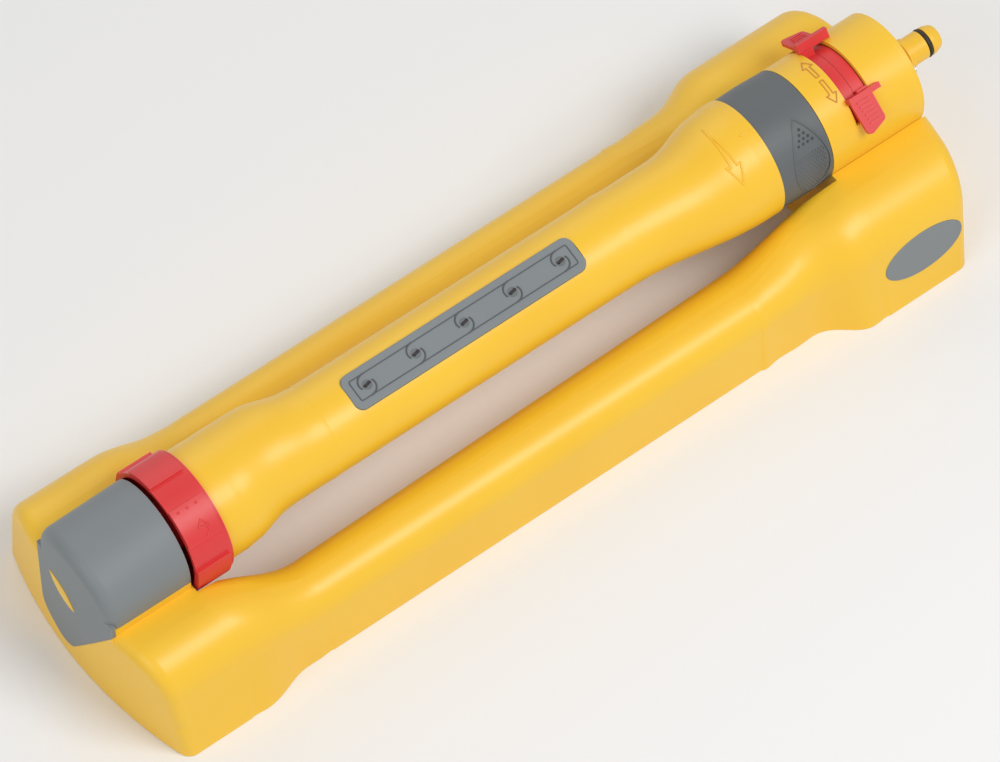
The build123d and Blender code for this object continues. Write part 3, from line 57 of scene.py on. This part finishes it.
class Maths:
    """Number socket of a material: Python's operators add Math nodes to it."""

    def __init__(self, material, socket):
        self.material = material
        self.socket = socket

    def join(self, operation, first, second):
        return self.material.add("ShaderNodeMath", {"operation": operation}, {0: first, 1: second})

    def __add__(self, other):
        return self.join("ADD", self, other)

    def __mul__(self, other):
        return self.join("MULTIPLY", self, other)

    def __rsub__(self, other):
        return self.join("SUBTRACT", other, self)

    __radd__ = __add__
    __rmul__ = __mul__


class Finish:
    """Material with a Principled shader, and one method that adds any node."""

    def __init__(self, name):
        self.material = bpy.data.materials.new(name)
        self.material.use_nodes = True
        self.nodes = self.material.node_tree.nodes
        self.links = self.material.node_tree.links
        self.shader = self.nodes["Principled BSDF"]

    def put(self, socket, value):
        """Set a socket to a value, or link it to another."""
        if isinstance(value, Maths):
            value = value.socket
        if isinstance(value, bpy.types.NodeSocket):
            self.links.new(value, socket)
        else:
            socket.default_value = value

    def add(self, kind, settings=(), inputs=(), output=0):
        """Add a node: its settings first, then its sockets' values or links."""
        node = self.nodes.new(kind)
        for key, value in dict(settings).items():
            setattr(node, key, value)
        for key, value in dict(inputs).items():
            self.put(node.inputs[key], value)
        return Maths(self, node.outputs[output])

    def noise(self, per_metre, detail=NOISE_DETAIL):
        """Soft noise from 0 to 1 on the piece's own coordinates, in cells per metre."""
        place = self.add("ShaderNodeTexCoord", output="Object")
        inputs = {"Vector": place, "Scale": per_metre, "Detail": detail}
        return self.add("ShaderNodeTexNoise", inputs=inputs)

    def mix(self, share, first, second):
        """Colour between two, by a share."""
        node = self.nodes.new("ShaderNodeMix")
        node.data_type = "RGBA"
        self.put(node.inputs["Factor"], share)
        self.put(node.inputs["A"], first)
        self.put(node.inputs["B"], second)
        return Maths(self, node.outputs["Result"])

    def painted_edge_highlight(self):
        """Share of the painted edge highlight, from 0 on flat faces to 1 on sharp edges: how far bevelling
        turns the normal.
        """
        bevel = self.add("ShaderNodeBevel", {"samples": EDGE_HIGHLIGHT_SAMPLES}, {"Radius": EDGE_HIGHLIGHT_RADIUS})
        face = self.add("ShaderNodeNewGeometry", output="Normal")
        product = {"operation": "DOT_PRODUCT"}
        likeness = self.add("ShaderNodeVectorMath", product, {0: bevel, 1: face}, "Value")
        clamped = {"operation": "MULTIPLY", "use_clamp": True}
        return self.add("ShaderNodeMath", clamped, {0: 1 - likeness, 1: EDGE_HIGHLIGHT_GAIN})

    def finish(self, colour, roughness, normal=None):
        """Join what varies to the shader."""
        self.put(self.shader.inputs["Base Color"], colour)
        self.put(self.shader.inputs["Roughness"], roughness)
        if normal is not None:
            self.put(self.shader.inputs["Normal"], normal)
        return self.material


def linear(red, green, blue):
    """Colour for the shader from one written 0 to 255, by the standard curve of a screen."""
    shares = np.array([red, green, blue]) / 255
    light = np.where(shares < 0.04045, shares / 12.92, ((shares + 0.055) / 1.055) ** 2.4)
    return (*light.tolist(), 1.0)


def moulded(name, base, shade, edge, roughness, grain_size, grain_depth):
    """Moulded plastic: two close tones in broad patches, a fine eroded grain, and a painted highlight that
    makes sharp edges paler.
    """
    made = Finish(name)
    grain = made.noise(1 / grain_size)
    tone = made.mix(made.noise(PATCHES_PER_METRE), linear(*shade), linear(*base))
    # Painted highlight: sharp edges are mixed towards the paler edge colour.
    tone = made.mix(made.painted_edge_highlight() * EDGE_HIGHLIGHT_SHARE, tone, linear(*edge))
    relief = {"Strength": GRAIN_STRENGTH, "Distance": grain_depth, "Height": grain}
    made.shader.inputs["Specular IOR Level"].default_value = PLASTIC_SHINE
    return made.finish(tone, roughness + GRAIN_ROUGHNESS * grain, made.add("ShaderNodeBump", inputs=relief))


def dress(material, *nodes):
    """Give the solids of these nodes a material."""
    for name in nodes:
        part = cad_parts[name]
        part.data.materials.clear()
        part.data.materials.append(material)


YELLOW = moulded("yellow_moulding", base=(253, 205, 52), shade=(247, 192, 40), edge=(255, 224, 104),
                 roughness=0.34, grain_size=0.0011, grain_depth=0.00004)
for socket, value in SKIN.items():
    YELLOW.node_tree.nodes["Principled BSDF"].inputs[socket].default_value = value
dress(YELLOW, "base_frame", "spray_tube", "motor_housing", "motor_end_cover", "hose_connector",
      "end_cap_badge")

# The grey mouldings: the cap over the near bearing, the nozzle strip and the two ovals are a
# cool mid grey. The ring that sets the flow and the plastic inside the motor are darker. All
# have a fine matte grain from the mould.
GREY = moulded("grey_moulding", base=(132, 138, 140), shade=(124, 130, 133), edge=(158, 164, 166),
               roughness=0.46, grain_size=0.0008, grain_depth=0.00004)
DARK_GREY = moulded("dark_grey_moulding", base=(101, 105, 107), shade=(93, 97, 99),
                    edge=(128, 132, 134), roughness=0.44, grain_size=0.0008, grain_depth=0.00004)
dress(GREY, "near_bearing_cap", "nozzle_strip", "oval_badge_left", "oval_badge_right")
dress(DARK_GREY, "flow_control_ring", "motor_casing", "gearbox_plate", "gearbox_posts",
      "jet_director", "water_gallery", "jet_shutter")

# The red pieces that a finger moves: the jet selector and the two range sliders. They are a
# clear red that shows up in grass, and a touch glossier than the yellow.
RED = moulded("red_moulding", base=(229, 62, 62), shade=(216, 48, 50), edge=(243, 112, 106),
              roughness=0.32, grain_size=0.0009, grain_depth=0.00003)
dress(RED, "jet_selector_ring", "range_slider_left", "range_slider_right")

# The pieces inside: bearings, gears and turbine of natural acetal, black rubber seals and soft
# grey nozzle inserts. The pins, spring, filter and screws are bright steel.
STEEL_GRAIN_PER_METRE = 2500.0
STEEL_GRAIN_DETAIL = 3.0
STEEL_ROUGHNESS = 0.22
STEEL_SPREAD = 0.16
ACETAL = moulded("natural_acetal", base=(226, 226, 218), shade=(216, 216, 208), edge=(240, 240, 234),
                 roughness=0.40, grain_size=0.0010, grain_depth=0.00002)
dress(ACETAL, "near_bearing_bush", "near_journal", "tube_hub", "drive_shaft", "shaft_bush",
      "output_gear", "second_gear", "first_gear", "turbine_wheel", "trip_lever")
# The same black rubber also paints the shade in the nozzle slits on the strip.
RUBBER_AND_SLIT_SHADE = moulded("seal_rubber", base=(44, 34, 30), shade=(36, 28, 25), edge=(70, 58, 52),
                 roughness=0.52, grain_size=0.0007, grain_depth=0.00003)
dress(RUBBER_AND_SLIT_SHADE, "connector_seal", "shaft_seal", "near_plug_seal")
SOFT_GREY = moulded("nozzle_rubber", base=(112, 117, 119), shade=(104, 109, 111), edge=(140, 145, 147),
                    roughness=0.55, grain_size=0.0006, grain_depth=0.00003)
dress(SOFT_GREY, "nozzle_inserts")
steel = Finish("bright_steel")
steel.shader.inputs["Metallic"].default_value = 1.0
steel_grain = steel.noise(STEEL_GRAIN_PER_METRE, STEEL_GRAIN_DETAIL)
STEEL = steel.finish(linear(205, 205, 207), STEEL_ROUGHNESS + STEEL_SPREAD * steel_grain)
dress(STEEL, "gear_arbors", "turbine_spindle", "trip_spring", "inlet_filter", "cover_screws",
      "housing_screws", "cap_screws")

# The marks moulded on the tube beside its wide end: an arrow whose thin tail grows into a long
# head, and a short index line at the rim. Both are low beads of the tube's own plastic.
AXIS_HEIGHT = 0.075
TUBE_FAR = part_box("spray_tube")[1][0]
MARK_BEAD = 0.00055
MARK_PROUD = 0.1
RAY_START = 0.06
ARROW_STATION = TUBE_FAR - 0.0203
ARROW_TAIL, ARROW_NECK, ARROW_TIP = -19.0, 30.0, 49.0
ARROW_GROWTH = 0.0017
HEAD_HALF = 0.0041
NEAR_BARB, FAR_BARB = 3.0, 1.0
INDEX_ANGLE = 10.0
INDEX_REACH = (0.0092, 0.0017)
INDEX_STEPS = 10
BEAD_SIDES = 8
BEAD_END = 0.02
BEAD_SHARP = 80.0
RUN_STEPS = 12
tube_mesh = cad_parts["spray_tube"].data
tube_skin = BVHTree.FromPolygons([corner.co for corner in tube_mesh.vertices],
                                 [face.vertices for face in tube_mesh.polygons])


def make_piece(name, points, faces, material, sharp):
    """New piece from points and faces, shaded smooth except at edges sharper than an angle."""
    mesh = bpy.data.meshes.new(name)
    mesh.from_pydata(points, [], faces)
    mesh.polygons.foreach_set("use_smooth", [True] * len(mesh.polygons))
    mesh.set_sharp_from_angle(angle=math.radians(sharp))
    mesh.materials.append(material)
    piece = bpy.data.objects.new(name, mesh)
    bpy.context.collection.objects.link(piece)
    return piece


def quads(number):
    """Corners of each cell in a grid of point numbers, or in many such grids."""
    corners = [number[..., :-1, :-1], number[..., 1:, :-1], number[..., 1:, 1:], number[..., :-1, 1:]]
    return np.stack(corners, axis=-1).reshape(-1, 4)


def bead_along(name, path, radius, material, sides=BEAD_SIDES, loop=False):
    """Round bead: a circle carried along a path, square to its direction. A bead that isn't a
    loop shrinks to a small flat cap at each end."""
    ahead = np.roll(path, -1, axis=0) - np.roll(path, 1, axis=0)
    if not loop:
        ahead[0] = path[1] - path[0]
        ahead[-1] = path[-1] - path[-2]
    ahead /= np.linalg.norm(ahead, axis=1, keepdims=True)
    out = path - np.array([0, 0, AXIS_HEIGHT])
    out[:, 0] = 0
    out /= np.linalg.norm(out, axis=1, keepdims=True)
    aside = np.cross(ahead, out)
    aside /= np.linalg.norm(aside, axis=1, keepdims=True)
    out = np.cross(aside, ahead)
    turn = np.linspace(0, 2 * math.pi, sides, endpoint=False)[None, :, None]
    size = np.full(len(path), radius)
    if not loop:
        size[[0, -1]] = radius * BEAD_END
    ring = size[:, None, None] * (np.cos(turn) * aside[:, None] + np.sin(turn) * out[:, None])
    number = np.arange(len(path) * sides).reshape(-1, sides)
    if loop:
        number = np.vstack([number, number[:1]])
    number = np.hstack([number, number[:, :1]])
    faces = quads(number).tolist()
    if not loop:
        faces.append(number[0, :-1].tolist())
        faces.append(number[-1, -2::-1].tolist())
    return make_piece(name, (path[:, None] + ring).reshape(-1, 3), faces, material, BEAD_SHARP)


def on_tube(x, degrees):
    """Points on the tube's skin: at each station and angle, a ray from outside to the axis."""
    points = []
    for station, slant in zip(x, np.radians(degrees)):
        outwards = Vector((0, -math.sin(slant), math.cos(slant)))
        axis = Vector((station, 0, AXIS_HEIGHT))
        hit = tube_skin.ray_cast(axis + outwards * RAY_START, -outwards)[0]
        points.append(hit + outwards * MARK_BEAD * MARK_PROUD)
    return np.array(points)


def runs(corners, steps):
    """Points along straight runs between corners, closed on the first."""
    corners = np.array([*corners, corners[0]])
    share = np.linspace(0, 1, steps, endpoint=False)[:, None]
    return (corners[:-1, None] * (1 - share) + corners[1:, None] * share).reshape(-1, 2).T


arrow_x, arrow_angle = runs([
    (0, ARROW_TAIL),
    (ARROW_GROWTH, ARROW_NECK),
    (HEAD_HALF, ARROW_NECK - FAR_BARB),
    (0, ARROW_TIP),
    (-HEAD_HALF, ARROW_NECK - NEAR_BARB),
    (-ARROW_GROWTH, ARROW_NECK),
], RUN_STEPS)
arrow_path = on_tube(ARROW_STATION + arrow_x, arrow_angle)
tube_arrow = bead_along("tube_arrow", arrow_path, MARK_BEAD, YELLOW, loop=True)
index_x = np.linspace(TUBE_FAR - INDEX_REACH[0], TUBE_FAR - INDEX_REACH[1], INDEX_STEPS)
index_path = on_tube(index_x, np.full(INDEX_STEPS, INDEX_ANGLE))
index_line = bead_along("tube_index_line", index_path, MARK_BEAD, YELLOW)
for mark in (tube_arrow, index_line):
    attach(mark, "tube")

# The two outlined arrows on the drum, one for each way that the sliders turn. Each is a low
# bead in a darker orange than the drum, between its near rim and the slot.
HOUSING_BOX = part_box("motor_housing")
HOUSING_RADIUS = HOUSING_BOX[1][1]
ARROW_X = HOUSING_BOX[0][0] + 0.0128
ARROW_WIDTH = 0.0062
ARROW_STEM = 0.0021
ARROW_HEAD = 9.0
ARROW_BEAD = 0.00035
ARROW_PROUD = 0.3
ARROW_SIDES = 6
HOUSING_ARROWS = {"housing_arrow_left": (1.5, -22.0), "housing_arrow_right": (6.1, 30.8)}
ORANGE = moulded("arrow_print", base=(214, 148, 60), shade=(206, 140, 54), edge=(236, 180, 96),
                 roughness=0.40, grain_size=0.0008, grain_depth=0.00002)


def on_drum(x, angle, radius):
    """Points on a drum round the swing axis: angle in radians from straight up towards -Y."""
    return np.stack([x + 0 * angle, -radius * np.sin(angle), AXIS_HEIGHT + radius * np.cos(angle)], axis=-1)


def arrow_outline(first, last):
    """Closed outline of an arrow on the drum: seven corners joined by straight runs."""
    neck = last - ARROW_HEAD * np.sign(last - first)
    half, stem = ARROW_WIDTH / 2, ARROW_STEM / 2
    angle, offset = runs([
        (first, stem), (neck, stem), (neck, half), (last, 0), (neck, -half), (neck, -stem), (first, -stem),
    ], RUN_STEPS)
    return on_drum(ARROW_X + offset, np.radians(angle), HOUSING_RADIUS + ARROW_BEAD * ARROW_PROUD)


for name, (first, last) in HOUSING_ARROWS.items():
    arrow = bead_along(name, arrow_outline(first, last), ARROW_BEAD, ORANGE, ARROW_SIDES, loop=True)
    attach(arrow, "frame")

# The thumb pad on the flow ring: a lens outline moulded as a low bead, filled with staggered
# rows of round dots for grip, larger ones at its top drawn as low domes in a darker grey that
# paints the shade in their dimples. It turns with the ring.
FLOW_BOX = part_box("flow_control_ring")
FLOW_RADIUS = FLOW_BOX[1][1]
PAD_X = (FLOW_BOX[0][0] + FLOW_BOX[1][0]) / 2 + 0.0035
PAD_FIRST, PAD_LAST = 22.0, 105.0
PAD_HALF = 0.0109
PAD_LOW, PAD_FULL = 1.35, 0.62
PAD_BEAD = 0.00045
PAD_SINK = 0.0001
PAD_STEPS = 120
DIMPLE_RADIUS = 0.00085
DOT_RADIUS = 0.00045
DOT_COLUMNS = 8
ROW_PITCH = 0.87
DOME_RINGS = (0.04, 0.45, 0.8, 1.0)
DOME_SIDES = 12
DOME_RISE = 0.0006
DOME_SHARP = 60.0
# Painted shade: the dimples are given a darker grey than the ring to stand for the shade in them.
DIMPLE_PAINTED_SHADE = moulded("dimple_painted_shade", base=(66, 70, 72), shade=(60, 64, 66), edge=(88, 92, 94),
                      roughness=0.5, grain_size=0.0008, grain_depth=0.00002)


def pad_reach(angle):
    """Half width of the pad at an angle: a power of a sine, its widest place low down."""
    share = np.clip((angle - PAD_FIRST) / (PAD_LAST - PAD_FIRST), 0, 1)
    return PAD_HALF * np.sin(math.pi * share ** PAD_LOW) ** PAD_FULL


def dot_grid(first, last, pitch, margin):
    """Places of dots as (offset along X, angle): a staggered grid, cut to the pad's outline."""
    step = math.degrees(pitch * ROW_PITCH / FLOW_RADIUS)
    across, along = np.meshgrid(np.arange(-DOT_COLUMNS, DOT_COLUMNS + 1),
                                np.arange(int((last - first) / step) + 1))
    offset = pitch * (across + 0.5 * (along % 2))
    angle = first + step * along
    inside = np.abs(offset) < pad_reach(angle) - margin
    return np.stack([offset[inside], angle[inside]], axis=-1)


def domes(name, places, middle, radius, size, material):
    """Low round dots on a drum: each one's height falls from its middle as one minus the square
    of the distance, on rings of points."""
    turn = np.linspace(0, 2 * math.pi, DOME_SIDES, endpoint=False)
    ring, turn = np.meshgrid(DOME_RINGS, turn, indexing="ij")
    offset, angle = np.array(places).T[:, :, None, None]
    x = middle + offset + size * ring * np.cos(turn)
    slant = np.radians(angle) + size * ring * np.sin(turn) / radius
    points = on_drum(x, slant, radius - PAD_SINK + DOME_RISE * (1 - ring ** 2))
    number = np.arange(x.size).reshape(x.shape)
    number = np.concatenate([number, number[..., :1]], axis=-1)
    faces = quads(number)[:, ::-1].tolist()
    faces += number[:, 0, -2::-1].tolist()
    faces += number[:, -1, :-1].tolist()
    return make_piece(name, points.reshape(-1, 3), faces, material, DOME_SHARP)


turn = np.linspace(0, 2 * math.pi, PAD_STEPS, endpoint=False)
pad_angle = (PAD_FIRST + PAD_LAST) / 2 - (PAD_LAST - PAD_FIRST) / 2 * np.cos(turn)
pad_offset = np.sign(np.sin(turn)) * pad_reach(pad_angle)
pad_path = on_drum(PAD_X + pad_offset, np.radians(pad_angle), FLOW_RADIUS - PAD_SINK)
pad = bead_along("flow_pad_rim", pad_path, PAD_BEAD, DARK_GREY, loop=True)
dimple_places = dot_grid(first=33.0, last=50.0, pitch=0.0029, margin=0.0018)
dot_places = dot_grid(first=58.0, last=100.0, pitch=0.0019, margin=0.0014)
dimples = domes("flow_pad_dimples", dimple_places, PAD_X, FLOW_RADIUS, DIMPLE_RADIUS, DIMPLE_PAINTED_SHADE)
dots = domes("flow_pad_dots", dot_places, PAD_X, FLOW_RADIUS, DOT_RADIUS, DARK_GREY)
for piece in (pad, dimples, dots):
    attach(piece, "flow")

# The marks on the selector ring: three dots beside the step of a grip sector, a low arrowhead
# and a short arc. They are moulded in the ring's own red, and turn with it.
SELECTOR_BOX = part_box("jet_selector_ring")
SELECTOR_RADIUS = SELECTOR_BOX[1][1]
SELECTOR_X = (SELECTOR_BOX[0][0] + SELECTOR_BOX[1][0]) / 2
SELECTOR_DOT_RADIUS = 0.0010
SELECTOR_DOTS = [(-0.0071, 24.0), (-0.0019, 24.0), (0.0032, 24.0)]
SIGN_BEAD = 0.00050
SIGN_CORNERS = [(-0.0022, 43.0), (0.0006, 37.5), (0.0034, 44.0)]
SIGN_STEPS = 8
ARC_OFFSET = 0.0024
ARC_BOW = 0.0018
ARC_LEAN = 0.001
ARC_ANGLE, ARC_HALF = 48.5, 4.5
ARC_STEPS = 14
selector_dots = domes("selector_dots", SELECTOR_DOTS, SELECTOR_X, SELECTOR_RADIUS, SELECTOR_DOT_RADIUS, RED)
sign_x, sign_angle = runs(SIGN_CORNERS, SIGN_STEPS)
sign_path = on_drum(SELECTOR_X + sign_x, np.radians(sign_angle), SELECTOR_RADIUS)
arrowhead = bead_along("selector_arrowhead", sign_path, SIGN_BEAD, RED, loop=True)
bow = np.linspace(-1, 1, ARC_STEPS)
arc_x = SELECTOR_X + ARC_OFFSET - ARC_BOW * bow ** 2 - ARC_LEAN * bow
arc_path = on_drum(arc_x, np.radians(ARC_ANGLE + ARC_HALF * bow), SELECTOR_RADIUS)
arc = bead_along("selector_arc", arc_path, SIGN_BEAD, RED)
for piece in (selector_dots, arrowhead, arc):
    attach(piece, "selector")

# The strip's panel: a fine outline in from its edge, and at each nozzle a slit between two
# hooked lips; the slit's opening is a black bead of painted shade. The lines are darker than
# the strip, and all of it swings with the tube.
REST_SWING = math.radians(14.5)
STRIP_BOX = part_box("nozzle_strip")
STRIP_X = (STRIP_BOX[0][0] + STRIP_BOX[1][0]) / 2
STRIP_LENGTH = 0.143
STRIP_WIDTH = 0.020
STRIP_TOP = 0.025
LINE_PROUD = 0.0001
RIB_INSET = 0.0042
RIB_CORNER = 0.0010
RIB_CORNER_STEPS = 8
RIB_RADIUS = 0.00030
NOZZLES = 5
NOZZLE_PITCH = 0.030
SLIT_LENGTH = 0.0050
SLIT_RADIUS = 0.00075
SLIT_RISE = 0.0002
SLIT_SLANT = math.radians(9.0)
SLIT_STEPS = 9
LIP_RADIUS = 0.00042
LIP_REACH = 0.0035
LIP_FLARE = 1.75
LIP_STARTS = {"near": 70.0, "far": 250.0}
LIP_SWEEP = 130.0
LIP_STEPS = 20
LINE_GREY = moulded("line_grey", base=(84, 88, 90), shade=(78, 82, 84), edge=(104, 108, 110),
                    roughness=0.5, grain_size=0.0008, grain_depth=0.00002)


def on_strip(x, y):
    """Points on the strip's flat top, x along the tube and y across, turned to its rest swing."""
    height = STRIP_TOP + LINE_PROUD
    side = -height * math.sin(REST_SWING) + y * math.cos(REST_SWING)
    rise = height * math.cos(REST_SWING) + y * math.sin(REST_SWING)
    return np.stack([STRIP_X + x, side, AXIS_HEIGHT + rise], axis=-1)


def rib_side(half, signs, curve):
    """Coordinates of four rounded corners: each is a straight half plus a quarter of a circle."""
    quarter = np.radians(np.linspace(0, 90, RIB_CORNER_STEPS))
    starts = np.radians([0, 90, 180, 270])
    return np.concatenate([sign * half + RIB_CORNER * curve(quarter + start)
                           for sign, start in zip(signs, starts)])


rib_x = rib_side(STRIP_LENGTH / 2 - RIB_INSET - RIB_CORNER, (1, -1, -1, 1), np.cos)
rib_y = rib_side(STRIP_WIDTH / 2 - RIB_INSET - RIB_CORNER, (1, 1, -1, -1), np.sin)
panel = bead_along("strip_panel_rib", on_strip(rib_x, rib_y), RIB_RADIUS, LINE_GREY, loop=True)
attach(panel, "tube")
for number in range(NOZZLES):
    x = NOZZLE_PITCH * (number - (NOZZLES - 1) / 2)
    along = np.linspace(-SLIT_LENGTH / 2, SLIT_LENGTH / 2, SLIT_STEPS)
    slit_path = on_strip(x + along * math.cos(SLIT_SLANT), along * math.sin(SLIT_SLANT))
    slit_path += SLIT_RISE * np.array([0, -math.sin(REST_SWING), math.cos(REST_SWING)])
    # Painted shade: the slit's opening is a black bead of the rubber.
    slit = bead_along(f"nozzle_slit_shade_{number + 1}", slit_path, SLIT_RADIUS, RUBBER_AND_SLIT_SHADE)
    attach(slit, "tube")
    for side, first in LIP_STARTS.items():
        hook = np.radians(np.linspace(first, first + LIP_SWEEP, LIP_STEPS))
        reach = LIP_REACH * np.linspace(LIP_FLARE, 1.0, LIP_STEPS)
        lip_path = on_strip(x + reach * np.cos(hook), reach * np.sin(hook))
        lip = bead_along(f"nozzle_lip_{side}_{number + 1}", lip_path, LIP_RADIUS, LINE_GREY)
        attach(lip, "tube")

# The stage: a plain pale floor that runs out of sight, under a soft box of light and two
# weaker ones. The camera and reflections see a white world, which lights the sprinkler at
# less than half that strength.
FLOOR_SIZE = 6.0
FLOOR_DROP = 0.0002
FLOOR_COLOUR = (0.93, 0.93, 0.93, 1.0)
FLOOR_ROUGHNESS = 0.9
AMBIENT = 0.42
bpy.ops.mesh.primitive_grid_add(x_subdivisions=2, y_subdivisions=2, size=FLOOR_SIZE,
                                location=(0, 0, -FLOOR_DROP))
floor = bpy.context.object
floor.name = "floor"
floor_finish = Finish("pale_floor")
floor_finish.shader.inputs["Specular IOR Level"].default_value = 0.0
floor.data.materials.append(floor_finish.finish(FLOOR_COLOUR, FLOOR_ROUGHNESS))

world = bpy.data.worlds.new("studio")
world.use_nodes = True
bpy.context.scene.world = world
rays = world.node_tree.nodes.new("ShaderNodeLightPath")
seen = world.node_tree.nodes.new("ShaderNodeMath")
seen.operation = "MAXIMUM"
world.node_tree.links.new(rays.outputs["Is Camera Ray"], seen.inputs[0])
world.node_tree.links.new(rays.outputs["Is Glossy Ray"], seen.inputs[1])
strength = world.node_tree.nodes.new("ShaderNodeMath")
strength.operation = "MULTIPLY_ADD"
strength.inputs[1].default_value = 1.0 - AMBIENT
strength.inputs[2].default_value = AMBIENT
world.node_tree.links.new(seen.outputs[0], strength.inputs[0])
background = world.node_tree.nodes["Background"]
world.node_tree.links.new(strength.outputs[0], background.inputs["Strength"])
background.inputs["Color"].default_value = (1.0, 1.0, 1.0, 1.0)


def lamp(name, place, size, power):
    """Soft square lamp aimed at the middle of the sprinkler."""
    data = bpy.data.lights.new(name, "AREA")
    data.size = size
    data.energy = power
    made = bpy.data.objects.new(name, data)
    made.location = place
    aim = Vector((0, 0, AXIS_HEIGHT)) - Vector(place)
    made.rotation_euler = aim.to_track_quat("-Z", "Y").to_euler()
    bpy.context.collection.objects.link(made)


lamp("key_light", place=(0.5, -1.1, 1.7), size=0.9, power=19.0)
lamp("fill_light", place=(-1.5, -0.4, 1.2), size=1.2, power=7.0)
lamp("back_light", place=(0.3, 1.5, 1.3), size=1.2, power=4.0)

# The camera stands where the round rims say that the picture was taken from: well above the
# sprinkler and to the near side, far away, through a long lens, with a small shift.
IMAGE_WIDTH, IMAGE_HEIGHT = 1000.0, 762.0
AZIMUTH, ELEVATION = math.radians(-37.3), math.radians(56.9)
DISTANCE = 3.110
PIXELS_PER_METRE = 2001.5
AIM = Vector((-0.017, 0.0, AXIS_HEIGHT))
AIM_PIXEL = (488.0, 320.6)
SENSOR_WIDTH = 36.0
SIGHT = 20.0
back = Vector((math.sin(AZIMUTH) * math.cos(ELEVATION), -math.cos(AZIMUTH) * math.cos(ELEVATION),
               math.sin(ELEVATION)))
right = Vector((math.cos(AZIMUTH), math.sin(AZIMUTH), 0.0))
turned = Matrix((right, back.cross(right), back)).transposed().to_4x4()
camera_data = bpy.data.cameras.new("camera")
camera_data.sensor_width = SENSOR_WIDTH
camera_data.lens = SENSOR_WIDTH * PIXELS_PER_METRE * DISTANCE / IMAGE_WIDTH
camera_data.shift_x = (IMAGE_WIDTH / 2 - AIM_PIXEL[0]) / IMAGE_WIDTH
camera_data.shift_y = (AIM_PIXEL[1] - IMAGE_HEIGHT / 2) / IMAGE_WIDTH
camera_data.clip_end = SIGHT
camera = bpy.data.objects.new("camera", camera_data)
camera.matrix_world = Matrix.Translation(AIM + back * DISTANCE) @ turned
bpy.context.collection.objects.link(camera)
bpy.context.scene.camera = camera
bpy.context.scene.view_settings.view_transform = "Standard"
